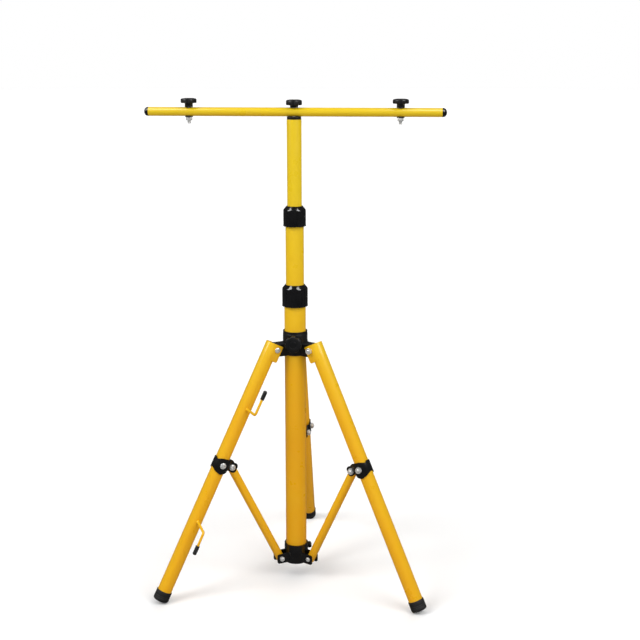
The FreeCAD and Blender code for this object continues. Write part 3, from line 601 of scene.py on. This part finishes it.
def thread_rings(radius, start, end):
    """The threaded stretch of a profile, from one height up to another, with its chamfered tip."""
    points = [(0.0, start), (radius - 0.0009, start), (radius - 0.0003, start + 0.0006)]
    height = start + 0.0008
    while height + THREAD_PITCH < end:
        points += [(radius, height + 0.0002), (radius, height + 0.0004),
                   (radius - 0.00045, height + 0.0008)]
        height += THREAD_PITCH
    return points + [(radius, end)]


def pan_screw(name, shank, head, head_height, seat, tip):
    """A screw along Z: threaded tip, shank, and a domed head with a cross recess above its seat."""
    rim = head_height * 0.30
    profile = thread_rings(shank, tip, tip + 0.0070) + [
        (shank, seat), (head - 0.0003, seat), (head, seat + 0.0003), (head, seat + rim)]
    for angle in map(math.radians, (20, 40, 58, 74)):
        profile.append((head * math.cos(angle), seat + rim + (head_height - rim) * math.sin(angle)))
    profile.append((0.0, seat + head_height))
    piece = turn(name, profile, 48)
    for turned in (0, 90):
        bpy.ops.object.select_all(action="DESELECT")
        bpy.ops.mesh.primitive_cube_add(size=1.0)
        recess = fresh("recess")
        bpy.ops.transform.resize(value=(head * 1.15, 0.0011, head_height))
        choose(recess, "FACE", lambda spot: spot.z < -head_height * 0.4)
        bpy.ops.transform.resize(value=(0.35, 0.6, 1), center_override=(0, 0, -head_height / 2))
        bpy.ops.object.mode_set(mode="OBJECT")
        put(recess, Matrix.Translation((0, 0, seat + head_height * 0.95))
            @ about("Z", turned))
        joined_with(piece, recess, "DIFFERENCE")
    worked(piece, "WELD", merge_threshold=0.00001)
    soften(piece, 0.00012, 2, 40)
    return piece


def hex_nut(name, flats, height, bore, seat):
    """A hexagon nut under its seat, both its faces chamfered."""
    corner = flats / math.sqrt(3)
    bpy.ops.object.select_all(action="DESELECT")
    bpy.ops.mesh.primitive_cylinder_add(vertices=6, radius=corner, depth=height)
    piece = fresh(name)
    bpy.ops.transform.translate(value=(0, 0, seat - height / 2))
    bpy.ops.object.mode_set(mode="OBJECT")
    low, high = seat - height, seat

    def on_cone(share):
        return flats / 2 + share * (corner - flats / 2), share * 0.6 * (corner - flats / 2)

    # The cones that cut the corners start a little above each face and end a little outside the corners
    (start_r, start), (end_r, end) = on_cone(-0.3), on_cone(1.2)
    joined_with(piece, turn("chamfer", [
        (0.0, low + start), (start_r, low + start), (end_r, low + end), (end_r, high - end),
        (start_r, high - start), (0.0, high - start)], 72), "INTERSECT")
    drill = bar_stock("bore", bore, (0, 0, low - 0.001), (0, 0, high + 0.001), 40)
    joined_with(piece, drill, "DIFFERENCE")
    worked(piece, "WELD", merge_threshold=0.00001)
    soften(piece, 0.00018, 2, 25)
    return piece


def united(name, pieces):
    """Several loose pieces as one."""
    only(pieces[0])
    for piece in pieces:
        piece.select_set(True)
    bpy.ops.object.join()
    pieces[0].name = name
    pieces[0].data.name = name
    return pieces[0]


def one_per_leg(fastener, name, place, body, cad_node):
    """Sets a copy of the fastener at each leg's side and uses the pattern up."""
    three = []
    for side in LEG_DIRECTION:
        three.append(copied(fastener, name + side))
        put(three[-1], round_the_mast(side) @ place)
    fit(united(name, three), body, bright_zinc, "zinc", cad_node)
    bpy.data.objects.remove(fastener)


SCREW_R, HEAD_HEIGHT = 0.0030, 0.0034
NUT_FLATS, NUT_HEIGHT = 0.0100, 0.0050
along_y = about("X", -90)
hub_seat = 0.0129
screw = pan_screw("screw", SCREW_R, 0.0050, HEAD_HEIGHT, seat=hub_seat, tip=-0.0194)
nut = hex_nut("nut", NUT_FLATS, NUT_HEIGHT, PIVOT_HOLE, -hub_seat)
at_pivot = Matrix.Translation((pivot_r, 0, pivot_z)) @ along_y
one_per_leg(screw, "hub_pivot_screws", at_pivot, "upper_hub", "hub_bolts")
one_per_leg(nut, "hub_pivot_nuts", at_pivot, "upper_hub", "hub_nuts")


# ---- Legs ----
# Round steel tubes, powder coated. The head of each is opened into a channel whose two cheeks
# reach inward over the hub's ear and turn on its screw.

LEG_AXIS = 0.0077
LEG_R = 0.0127
LEG_HEAD, CHEEK_FOOT = 0.0091, -0.0219
LEG_END = -0.48926
CHEEK_REACH = 0.0160
LEG_LEAN = 26.4


def in_leg(side):
    """From the leg's own axes (X outward, Z up the leg, its hub pivot at the origin) to its place."""
    return (round_the_mast(side) @ Matrix.Translation((pivot_r, 0, pivot_z))
            @ about("Y", -LEG_LEAN))


bpy.ops.object.select_all(action="DESELECT")
bpy.ops.mesh.primitive_circle_add(vertices=96, radius=LEG_R, fill_type="NOTHING")
leg = fresh("leg")
bpy.ops.transform.translate(value=(LEG_AXIS, 0, LEG_END))
extend((0, 0, CHEEK_FOOT - LEG_END))
extend((0, 0, LEG_HEAD - CHEEK_FOOT))
choose(leg, "FACE", lambda spot: spot.z > CHEEK_FOOT and spot.x < LEG_AXIS)
bpy.ops.mesh.delete(type="FACE")
choose(leg, "EDGE", lambda spot: CHEEK_FOOT + 0.001 < spot.z < LEG_HEAD - 0.001
       and abs(spot.x - LEG_AXIS) < 0.0001)
extend((-CHEEK_REACH, 0, 0))
for height, radius in ((CHEEK_FOOT, 0.0030), (LEG_HEAD, 0.0015)):
    choose(leg, "VERT", lambda spot: abs(spot.x - LEG_AXIS + CHEEK_REACH) < 0.0001
           and abs(spot.z - height) < 0.0001)
    bpy.ops.mesh.bevel(offset=radius, segments=6, affect="VERTICES")
close_up()
worked(leg, "SOLIDIFY", thickness=STOUT_WALL, offset=-1, use_even_offset=True)
joined_with(leg, bar_stock("pivot", 0.0031, (0, -0.02, 0), (0, 0.02, 0), 40), "DIFFERENCE")
soften(leg, 0.00025, 2, 40)
for side in LEG_DIRECTION:
    twin = copied(leg, "leg_" + side + "_stem")
    put(twin, in_leg(side))
    fit(twin, "leg_" + side, yellow_coat, "yellow_paint", "leg_" + side + "_tube")
bpy.data.objects.remove(leg)


# ---- Feet ----
# Dull black rubber caps pushed over the legs' ends, with two moulded grooves, worn flat where they
# stand on the floor.

foot_rubber = moulded_finish(
    "foot_rubber", (0.008, 0.008, 0.008, 1), (0.030, 0.029, 0.027, 1),
    rough=0.62, width=0.0010, dust_amount=0.12, scratch=0.1, grain=1500.0, relief=0.55,
    IOR=1.45)
FOOT_LOW = -0.49226
FOOT_TOP = FOOT_LOW + 0.0190
FOOT_R, SOLE_ROUND, GROOVE_R = 0.0140, 0.0030, 0.0135
sole_r = FOOT_R - SOLE_ROUND
foot_profile = [(0.0, FOOT_LOW), (sole_r, FOOT_LOW)]
foot_profile += arc(sole_r, FOOT_LOW + SOLE_ROUND, SOLE_ROUND, -80, 0)
for groove in (0.0068, 0.0098):
    z = FOOT_LOW + groove
    foot_profile += [(FOOT_R, z), (GROOVE_R, z + 0.0003), (GROOVE_R, z + 0.0009), (FOOT_R, z + 0.0012)]
foot_profile += [(FOOT_R, FOOT_TOP - 0.0010), (0.0137, FOOT_TOP - 0.0003), (0.0131, FOOT_TOP),
                 (LEG_R, FOOT_TOP), (LEG_R, LEG_END), (0.0, LEG_END)]
foot = turn("foot", foot_profile, 80)
put(foot, Matrix.Translation((LEG_AXIS, 0, 0)))
soften(foot, 0.00015, 2, 40)
for side in LEG_DIRECTION:
    twin = copied(foot, "leg_" + side + "_boot")
    put(twin, in_leg(side))
    only(twin)
    bpy.ops.object.mode_set(mode="EDIT")
    bpy.ops.mesh.select_all(action="SELECT")
    bpy.ops.mesh.bisect(plane_co=(0, 0, 0), plane_no=(0, 0, -1), clear_outer=True, use_fill=True)
    bpy.ops.object.mode_set(mode="OBJECT")
    fit(twin, "leg_" + side, foot_rubber, "black_rubber", "leg_" + side + "_foot")
bpy.data.objects.remove(foot)


# ---- Leg collars ----
# A black enamelled steel strap wrapped round the outside of each leg. Its two ends are drawn in
# and come together as ears over the strut's head; one screw clamps it and one is the strut's pivot.

black_enamel = moulded_finish(
    "black_enamel", (0.003, 0.003, 0.003, 1), (0.020, 0.019, 0.018, 1),
    rough=0.20, width=0.0004, dust_amount=0.04, scratch=0.15, grain=700.0, relief=0.16,
    IOR=1.5, Coat_Weight=0.3, Coat_Roughness=0.08)
COLLAR_WALL = 0.0018
COLLAR_R = LEG_R + 0.00005 + COLLAR_WALL
EAR_OUT, HEAD_ROUND = 0.0097, 0.0093
CLAMP_Z, STRUT_Z, STRUT_IN = -0.2259, -0.2240, 0.0207
collar_back = LEG_AXIS + COLLAR_R
strut_x = LEG_AXIS - STRUT_IN

bpy.ops.object.select_all(action="DESELECT")
bpy.ops.mesh.primitive_circle_add(vertices=96, radius=COLLAR_R, fill_type="NOTHING")
collar = fresh("collar")
bpy.ops.transform.translate(value=(LEG_AXIS, 0, CLAMP_Z - 0.030))
choose(collar, "VERT", lambda spot: spot.x < LEG_AXIS - 0.0001)
bpy.ops.mesh.delete(type="VERT")
for x0, y0, x1, y1 in ((LEG_AXIS, COLLAR_R, LEG_AXIS - 0.0106, COLLAR_R),
                       (LEG_AXIS - 0.0106, COLLAR_R, LEG_AXIS - 0.0121, COLLAR_R - 0.0010),
                       (LEG_AXIS - 0.0121, COLLAR_R - 0.0010, LEG_AXIS - 0.0138, EAR_OUT + 0.0008),
                       (LEG_AXIS - 0.0138, EAR_OUT + 0.0008, LEG_AXIS - 0.0153, EAR_OUT),
                       (LEG_AXIS - 0.0153, EAR_OUT, strut_x - HEAD_ROUND, EAR_OUT)):
    for way in (1, -1):
        choose(collar, "VERT", lambda spot: abs(spot.x - x0) < 0.0001 and abs(spot.y - way * y0) < 0.0001)
        extend((x1 - x0, way * (y1 - y0), 0))
bpy.ops.mesh.select_all(action="SELECT")
extend((0, 0, 0.060))
close_up()
worked(collar, "SOLIDIFY", thickness=COLLAR_WALL, offset=-1, use_even_offset=True)
trim = side_plate("trim", [
    (collar_back + 0.0010, CLAMP_Z - 0.0060), (collar_back + 0.0010, CLAMP_Z + 0.0115),
    (collar_back - 0.0009, CLAMP_Z + 0.0115), (collar_back - 0.0016, CLAMP_Z + 0.0080),
    (LEG_AXIS + 0.0050, CLAMP_Z + 0.0125), (LEG_AXIS - 0.0120, CLAMP_Z + 0.0140),
    (strut_x, STRUT_Z + HEAD_ROUND), (strut_x - HEAD_ROUND, STRUT_Z + HEAD_ROUND),
    (strut_x - HEAD_ROUND, STRUT_Z - HEAD_ROUND), (strut_x, STRUT_Z - 0.0085),
    (LEG_AXIS - 0.0127, CLAMP_Z - 0.0055), (LEG_AXIS - 0.0085, CLAMP_Z - 0.0132),
    (LEG_AXIS - 0.0010, CLAMP_Z - 0.0166), (LEG_AXIS + 0.0095, CLAMP_Z - 0.0130)],
    0.030, [0, 0, 0.0005, 0.0008, 0.0060, 0.0030, 0.0020, 0.0088, 0.0088, 0.0015, 0.0020, 0.0040,
            0.0040, 0.0040])
joined_with(collar, trim, "INTERSECT")
for x, z in ((LEG_AXIS, CLAMP_Z), (strut_x, STRUT_Z)):
    joined_with(collar, bar_stock("hole", PIVOT_HOLE, (x, -0.03, z), (x, 0.03, z), 40), "DIFFERENCE")
worked(collar, "WELD", merge_threshold=0.00001)
soften(collar, 0.00045, 3, 40)

clamp_place = Matrix.Translation((LEG_AXIS, 0, CLAMP_Z)) @ along_y
strut_place = Matrix.Translation((strut_x, 0, STRUT_Z)) @ along_y
screws, nuts = [], []
for outside, place in ((COLLAR_R - 0.00005, clamp_place), (EAR_OUT, strut_place)):
    screws.append(pan_screw(
        "screw", SCREW_R, 0.00565, HEAD_HEIGHT, seat=outside, tip=-outside - 0.0065))
    put(screws[-1], place)
    nuts.append(hex_nut("nut", NUT_FLATS, NUT_HEIGHT, PIVOT_HOLE, -outside))
    put(nuts[-1], place)
screws = united("screws", screws)
nuts = united("nuts", nuts)
for side in LEG_DIRECTION:
    for piece, name, material, slot, cad_node in (
            (collar, "_strap", black_enamel, "black_painted_steel", "_collar"),
            (screws, "_screws", bright_zinc, "zinc", "_bolts"),
            (nuts, "_hexagons", bright_zinc, "zinc", "_nuts")):
        twin = copied(piece, "leg_" + side + name)
        put(twin, in_leg(side))
        fit(twin, "leg_" + side, material, slot, "leg_" + side + cad_node)
for piece in (collar, screws, nuts):
    bpy.data.objects.remove(piece)


# ---- Cable hooks ----
# Steel wire welded to the left leg and bent up or down along it, coated with the leg. A black
# rubber sleeve covers each tip.

WIRE_R = 0.0023
ARM = LEG_R + 0.0365
BEND = 0.0046
ROOT = 0.0118


def pointing(direction, place):
    """Takes what is drawn along Z to this direction and place."""
    return Matrix.Translation(place) @ direction.to_track_quat("Z", "X").to_matrix().to_4x4()


def wire_hook(name, down, drop, rise):
    """The wire in the leg's own axes: out along +Y, round one bend, then up or down the leg."""
    root = Vector((LEG_AXIS, ROOT, -down - drop * ROOT / ARM))
    corner = Vector((LEG_AXIS, ARM, -down - drop))
    end = Vector((LEG_AXIS, ARM, -down + rise))
    out = (corner - root).normalized()
    along = (end - corner).normalized()
    turning = out.angle(along)
    reach = BEND * math.tan(turning / 2)
    inner = along - out * along.dot(out)
    bend_centre = corner - out * reach + inner.normalized() * BEND
    bpy.ops.object.select_all(action="DESELECT")
    bpy.ops.mesh.primitive_circle_add(vertices=24, radius=WIRE_R, fill_type="NGON")
    piece = bpy.context.active_object
    put(piece, pointing(out, root))
    fresh(name)
    straight = corner - out * reach - root
    extend(straight)
    bpy.ops.mesh.spin(steps=12, angle=turning, center=bend_centre, axis=along.cross(out))
    last = end - (corner + along * reach)
    extend(last)
    bpy.ops.mesh.inset(thickness=0.0004)
    close_up()
    return piece, end, along, root, out


for name, down, drop, rise in (("upper", 0.1170, 0.0, 0.0448), ("lower", 0.3333, 0.0075, -0.0478)):
    hook, end, along, root, out = wire_hook(name + "_hook_wire", down, drop, rise)
    bead = turn("bead", [
        (0.0, -0.0016), (0.0032, -0.0012), (0.0034, 0.0004), (0.0031, 0.0013), (0.0027, 0.0022),
        (0.0024, 0.0030), (0.00235, 0.0036), (0.0, 0.0040)], 32)
    put(bead, pointing(out, root))
    joined_with(hook, bead)
    soften(hook, 0.00012, 2, 45)
    put(hook, in_leg("left"))
    fit(hook, "leg_left", yellow_coat, "yellow_paint", name + "_cable_hook")

    profile = [
        (WIRE_R, -0.0170), (0.0033, -0.0170), (0.0036, -0.0166), (0.0036, -0.0158), (0.0034, -0.0154),
        (0.0034, -0.0150), (0.0036, -0.0146), (0.0036, -0.0028)]
    profile += arc(0.0008, -0.0028, 0.0028, 0, 84, 8)
    profile += [(0.0, 0.0), (0.0, -0.0018), (WIRE_R, -0.0018), (WIRE_R, -0.0170)]
    sleeve = turn(name + "_hook_sleeve", profile, 48)
    put(sleeve, pointing(along, end + along * 0.0017))
    soften(sleeve, 0.0001, 2, 50)
    put(sleeve, in_leg("left"))
    fit(sleeve, "leg_left", foot_rubber, "black_rubber", name + "_hook_tip")


# ---- Struts ----
# Yellow coated steel tubes between the leg collars and the lower hub, their ends cut round and
# drilled across for their pivots.

STRUT_R, STRUT_LENGTH, STRUT_LEAN = 0.0075, 0.21590, 25.797
SLIM_WALL = 0.0010
foot_pivot_r, foot_pivot_z = 0.0340, 0.0415


def in_strut(side):
    """From the strut's own axes (Z up the strut, its lower pivot at the origin) to its place."""
    return (round_the_mast(side) @ Matrix.Translation((foot_pivot_r, 0, foot_pivot_z))
            @ about("Y", STRUT_LEAN))


end_r = 0.0074
brace = round_tube("brace", STRUT_R, SLIM_WALL, -end_r, STRUT_LENGTH + end_r)
trim = side_plate("trim", [(-0.0080, -end_r), (0.0080, -end_r), (0.0080, STRUT_LENGTH + end_r),
                           (-0.0080, STRUT_LENGTH + end_r)], 0.010, [0.0072] * 4, 12)
joined_with(brace, trim, "INTERSECT")
for z in (0.0, STRUT_LENGTH):
    joined_with(brace, bar_stock("hole", 0.0031, (0, -0.02, z), (0, 0.02, z), 32), "DIFFERENCE")
worked(brace, "WELD", merge_threshold=0.00001)
soften(brace, 0.0002, 2, 40)
for side in LEG_DIRECTION:
    twin = copied(brace, "brace_" + side)
    put(twin, in_strut(side))
    fit(twin, "strut_" + side, yellow_coat, "yellow_paint", "strut_" + side)
bpy.data.objects.remove(brace)


# ---- Lower hub ----
# A black enamelled ring on the mast's foot, held by a thumb screw, with a pair of pressed ears for
# each strut and a small screw and nut through them.

RING_R, RING_EAR_REACH, EAR_ROOT = 0.0218, 0.0420, 0.0195
ring_low, ring_high = 0.0295, 0.0650
ring = turn("foot_ring", [
    (MAST_R, ring_low), (RING_R, ring_low), (RING_R, ring_high), (MAST_R, ring_high), (MAST_R, ring_low)])
ear_in, ear_out = 0.0079, 0.0101
for side in LEG_DIRECTION:
    for way in (1, -1):
        ear = side_plate("ear", [
            (EAR_ROOT, foot_pivot_z - 0.0095), (RING_EAR_REACH, foot_pivot_z - 0.0095),
            (RING_EAR_REACH, foot_pivot_z + 0.0080), (RING_R, foot_pivot_z + 0.0090),
            (EAR_ROOT, foot_pivot_z + 0.0092)],
            (ear_out - ear_in) / 2, [0, 0.0050, 0.0050, 0, 0])
        middle = way * (ear_in + ear_out) / 2
        # Each ear's inner edge follows the ring's curve, so it starts inside the ring's wall
        inward = EAR_ROOT - math.sqrt(0.0200 ** 2 - middle ** 2)
        only(ear)
        bpy.ops.object.mode_set(mode="EDIT")
        choose(ear, "VERT", lambda spot: spot.x < 0.0200)
        bpy.ops.transform.translate(value=(-inward, 0, 0))
        bpy.ops.object.mode_set(mode="OBJECT")
        put(ear, round_the_mast(side) @ Matrix.Translation((0, middle, 0)))
        joined_with(ring, ear)
thumb_turn = about("Z", 30)
thumb_z = 0.0540
boss = bar_stock("boss", 0.0050, (0.0193, 0, thumb_z), (0.0234, 0, thumb_z), 48)
put(boss, thumb_turn)
joined_with(ring, boss)
joined_with(ring, bar_stock("mast_hole", MAST_R, (0, 0, 0.02), (0, 0, 0.08), 96), "DIFFERENCE")
hole = bar_stock("thumb_hole", 0.0026, (0.0, 0, thumb_z), (0.04, 0, thumb_z), 32)
put(hole, thumb_turn)
joined_with(ring, hole, "DIFFERENCE")
worked(ring, "WELD", merge_threshold=0.00001)
soften(ring, 0.00035, 2, 40)
fit(ring, "mast_base", black_enamel, "black_painted_steel", "lower_hub")

screw = pan_screw(
    "screw", shank=0.0025, head=0.0042, head_height=0.0028, seat=ear_out, tip=-ear_out - 0.0052)
nut = hex_nut("nut", flats=0.0080, height=0.0040, bore=0.00255, seat=-ear_out)
# The heads here are on the side away from the legs' own heads
at_foot_pivot = (Matrix.Translation((foot_pivot_r, 0, foot_pivot_z))
                 @ about("X", 90))
one_per_leg(screw, "foot_ring_screws", at_foot_pivot, "mast_base", "lower_hub_bolts")
one_per_leg(nut, "foot_ring_hexagons", at_foot_pivot, "mast_base", "lower_hub_nuts")


# ---- Thumb screw ----
# A small black nylon head with eighteen notches, moulded on a zinc plated screw.

NOTCHES = 18
STEPS_PER_NOTCH = 6
THUMB_R = 0.0060
thumb = turn("thumb_grip", [
    (0.0, 0.0240), (0.0045, 0.0240), (0.0045, 0.0250), (0.0055, 0.0250), (THUMB_R, 0.0255),
    (THUMB_R, 0.0261), (THUMB_R, 0.0281), (0.0057, 0.0289), (0.0050, 0.0294), (0.0042, 0.0295),
    (0.0036, 0.0291), (0.0, 0.0291)], NOTCHES * STEPS_PER_NOTCH)
only(thumb)
bpy.ops.object.mode_set(mode="EDIT")
for i in range(NOTCHES):
    angle = 2 * math.pi * i / NOTCHES
    way = Vector((math.cos(angle), math.sin(angle)))
    choose(thumb, "VERT", lambda spot: spot.z > 0.0252 and spot.xy.length > 0.0053
           and spot.xy.normalized().dot(way) > 0.9995)
    bpy.ops.transform.resize(value=(0.93, 0.93, 1), center_override=(0, 0, 0))
bpy.ops.object.mode_set(mode="OBJECT")
soften(thumb, 0.0002, 2, 40)
put(thumb, thumb_turn @ Matrix.Translation((0, 0, thumb_z)) @ about("Y", 90))
fit(thumb, "thumb_screw", satin_nylon, "black_nylon", "thumb_screw_head")


# ---- Lamp bar ----
# Yellow coated steel tube across the mast's head, closed by two domed black caps. Each lamp's stud
# hangs through it with a dark washer and a bright nut below.

BAR_R, BAR_HALF, BAR_Z, STUD_HOLE = 0.0075, 0.2520, 0.8555, 0.0032
along_x = Matrix.Translation((0, 0, BAR_Z)) @ about("Y", 90)
lamp_bar = round_tube("lamp_bar", BAR_R, SLIM_WALL, -BAR_HALF, BAR_HALF)
put(lamp_bar, along_x)
for x in (-lamp_x, 0.0, lamp_x):
    hole = bar_stock("hole", STUD_HOLE, (x, 0, BAR_Z - 0.02), (x, 0, BAR_Z + 0.02), 40)
    joined_with(lamp_bar, hole, "DIFFERENCE")
worked(lamp_bar, "WELD", merge_threshold=0.00001)
soften(lamp_bar, 0.0002, 2, 40)
fit(lamp_bar, "crossbar", yellow_coat, "yellow_paint", "crossbar_tube")

DOME_R, DOME_FOOT, DOME_TOP = 0.00745, 0.0017, 0.0075
cap_profile = [(0.0, -0.0120), (0.0058, -0.0120), (0.00645, -0.0112), (0.00645, 0.0), (0.0076, 0.0),
               (0.0076, 0.0012), (DOME_R, 0.0014), (DOME_R, DOME_FOOT)]
for angle in map(math.radians, (12, 25, 38, 51, 64, 77)):
    cap_profile.append((DOME_R * math.cos(angle), DOME_FOOT + (DOME_TOP - DOME_FOOT) * math.sin(angle)))
cap = turn("cap", cap_profile + [(0.0, DOME_TOP)], 72)
soften(cap, 0.00015, 2, 45)
for side, way in (("left", -1), ("right", 1)):
    twin = copied(cap, "bar_end_" + side)
    put(twin, Matrix.Translation((way * BAR_HALF, 0, BAR_Z))
        @ about("Y", way * 90))
    fit(twin, "crossbar", glossy_nylon, "gloss_black_nylon", "crossbar_cap_" + side)
bpy.data.objects.remove(cap)

bar_under = BAR_Z - BAR_R
WASHER_R, WASHER_THICK = 0.0066, 0.0015
washer_under = bar_under - WASHER_THICK
washer = turn("washer", [
    (STUD_HOLE, washer_under), (WASHER_R, washer_under), (WASHER_R, bar_under), (STUD_HOLE, bar_under),
    (STUD_HOLE, washer_under)], 64)
soften(washer, 0.0003, 3, 40)
nut = hex_nut("nut", NUT_FLATS, 0.0056, PIVOT_HOLE, washer_under)
for piece, name, material, slot, cad_node in (
        (washer, "lamp_bar_washers", satin_nylon, "black_nylon", "lamp_washers"),
        (nut, "lamp_bar_hexagons", bright_zinc, "zinc", "lamp_nuts")):
    pair = [copied(piece, name + "_left"), copied(piece, name + "_right")]
    put(pair[0], Matrix.Translation((-lamp_x, 0, 0)))
    put(pair[1], Matrix.Translation((lamp_x, 0, 0)))
    fit(united(name, pair), "crossbar", material, slot, cad_node)
    bpy.data.objects.remove(piece)

for side, x in (("left", -lamp_x), ("right", lamp_x)):
    low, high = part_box("lamp_stud_" + side)
    threaded = thread_rings(SCREW_R, low.z, low.z + 0.0092)[:-1]
    stud = turn("lamp_thread_" + side,
                threaded + [(0.00295, low.z + 0.0094), (0.00295, high.z), (0.0, high.z)], 48)
    soften(stud, 0.0001, 2, 50)
    put(stud, Matrix.Translation((x, 0, 0)))
    fit(stud, "lamp_knob_" + side, bright_zinc, "zinc", "lamp_stud_" + side)


# ---- Inner parts and small turned parts ----
# Plugs, threaded ferrules, collets, guide bushes, inserts and knob screws keep their own shapes:
# black or white plastic, brass and zinc plated steel.

white_acetal = moulded_finish(
    "white_acetal", (0.62, 0.62, 0.59, 1), (0.80, 0.80, 0.77, 1),
    rough=0.42, width=0.0004, dust_amount=0.10, scratch=0.1, grain=1800.0, relief=0.2,
    IOR=1.48)
BRASS = (0.70, 0.50, 0.20, 1)
TARNISHED_BRASS = (0.45, 0.30, 0.12, 1)
turned_brass, tree, shader, where = new_finish("turned_brass", Metallic=1.0)
cloud = noise(tree, where, 300.0, 4.0)
tarnish = blend_colour(tree, spread(tree, cloud, 0.35, 0.7, 0.0, 1.0), BRASS, TARNISHED_BRASS)
tree.links.new(tarnish, shader.inputs["Base Color"])
tree.links.new(spread(tree, cloud, 0.3, 0.7, 0.25, 0.42), shader.inputs["Roughness"])
bump(tree, shader, cloud, 0.2, 0.0001)

for material, names in (
        (satin_nylon, ("top_plug", "mast_plug", "lower_ferrule", "upper_ferrule")),
        (white_acetal, ("lower_collet", "upper_collet", "middle_bush", "top_bush", "hub_pressure_pad")),
        (turned_brass, ("top_insert", "hub_insert")),
        (bright_zinc, ("centre_screw", "hub_knob_screw", "thumb_screw_shank"))):
    for name in names:
        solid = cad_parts[name]
        if not solid.material_slots:
            solid.data.materials.append(material)
        for slot in solid.material_slots:
            slot.link = "OBJECT"
            slot.material = material


# ---- Floor, light and camera ----
# A pale matt floor and an even white surround. Four wide suns light the matt surfaces from the left,
# the right, the front and behind, and two softboxes show only as glints in the glossy parts.

bpy.ops.object.select_all(action="DESELECT")
bpy.ops.mesh.primitive_circle_add(vertices=96, radius=30.0, fill_type="NGON")
floor = fresh("floor")
bpy.ops.mesh.inset(thickness=28.0)
bpy.ops.object.mode_set(mode="OBJECT")
pale, tree, shader, where = new_finish("pale_floor", Roughness=0.9, Specular_IOR_Level=0.0)
speckle = noise(tree, where, 3.0)
# It looks pale, but shows dark in glossy parts, so that the black ones stay black
pale_shade = blend_colour(tree, speckle, (0.98, 0.98, 0.98, 1), (1.0, 1.0, 1.0, 1))
ray = node(tree, "ShaderNodeLightPath")
shown = blend_colour(tree, ray.outputs["Is Camera Ray"], (0.50, 0.50, 0.50, 1), pale_shade)
shown = blend_colour(tree, ray.outputs["Is Glossy Ray"], shown, (0.09, 0.09, 0.09, 1))
tree.links.new(shown, shader.inputs["Base Color"])
paint(floor, pale)

world = bpy.data.worlds.new("surround")
world.use_nodes = True
bpy.context.scene.world = world
tree = world.node_tree
ray = node(tree, "ShaderNodeLightPath")
shown = blend_colour(tree, ray.outputs["Is Camera Ray"], (0.40, 0.40, 0.40, 1), (1.0, 1.0, 1.0, 1))
shown = blend_colour(tree, ray.outputs["Is Glossy Ray"], shown, (0.08, 0.08, 0.083, 1))
tree.links.new(shown, tree.nodes["Background"].inputs["Color"])


def hung(name, lamp, towards, place, shines, glints):
    """Hangs a light facing back along a direction; it lights matt surfaces, glossy ones or both."""
    holder = bpy.data.objects.new(name, lamp)
    holder.location = place
    holder.rotation_euler = Vector(towards).to_track_quat("Z", "Y").to_euler()
    holder.visible_diffuse = shines
    holder.visible_glossy = glints
    holder.visible_camera = False
    bpy.context.scene.collection.objects.link(holder)


for name, towards, strength, spread_angle in (
        ("key", (-0.80, -0.55, 0.90), 1.4, 30),
        ("fill", (0.80, -0.55, 0.90), 1.3, 45),
        ("front", (0.10, -1.00, 0.25), 0.45, 60),
        ("back", (0.20, 1.00, 0.50), 0.7, 45)):
    lamp = bpy.data.lights.new(name, "SUN")
    lamp.energy = strength
    lamp.angle = math.radians(spread_angle)
    hung(name, lamp, towards, (0, 0, 2), True, False)

SOFTBOX_AWAY, SOFTBOX_WIDTH, SOFTBOX_HEIGHT = 1.6, 0.55, 1.3
for name, turned, steep in (("window_left", -66, 42), ("window_right", 56, 45)):
    turned, steep = math.radians(turned), math.radians(steep)
    towards = Vector((
        math.sin(turned) * math.cos(steep), -math.cos(turned) * math.cos(steep), math.sin(steep)))
    lamp = bpy.data.lights.new(name, "AREA")
    lamp.shape = "RECTANGLE"
    lamp.size, lamp.size_y = SOFTBOX_WIDTH, SOFTBOX_HEIGHT
    lamp.energy = 11.0 * SOFTBOX_WIDTH * SOFTBOX_HEIGHT * math.pi
    hung(name, lamp, towards, Vector((0, 0, 0.7)) + towards * SOFTBOX_AWAY, False, True)

lens = bpy.data.cameras.new("camera")
lens.sensor_width = 36.0
lens.lens = 62.63
camera = bpy.data.objects.new("camera", lens)
camera.location = (0.2014, -1.9195, 0.9511)
camera.rotation_euler = Vector((-0.07927, 0.96948, -0.23208)).to_track_quat("-Z", "Y").to_euler()
bpy.context.scene.collection.objects.link(camera)
bpy.context.scene.camera = camera
bpy.context.scene.view_settings.view_transform = "Standard"
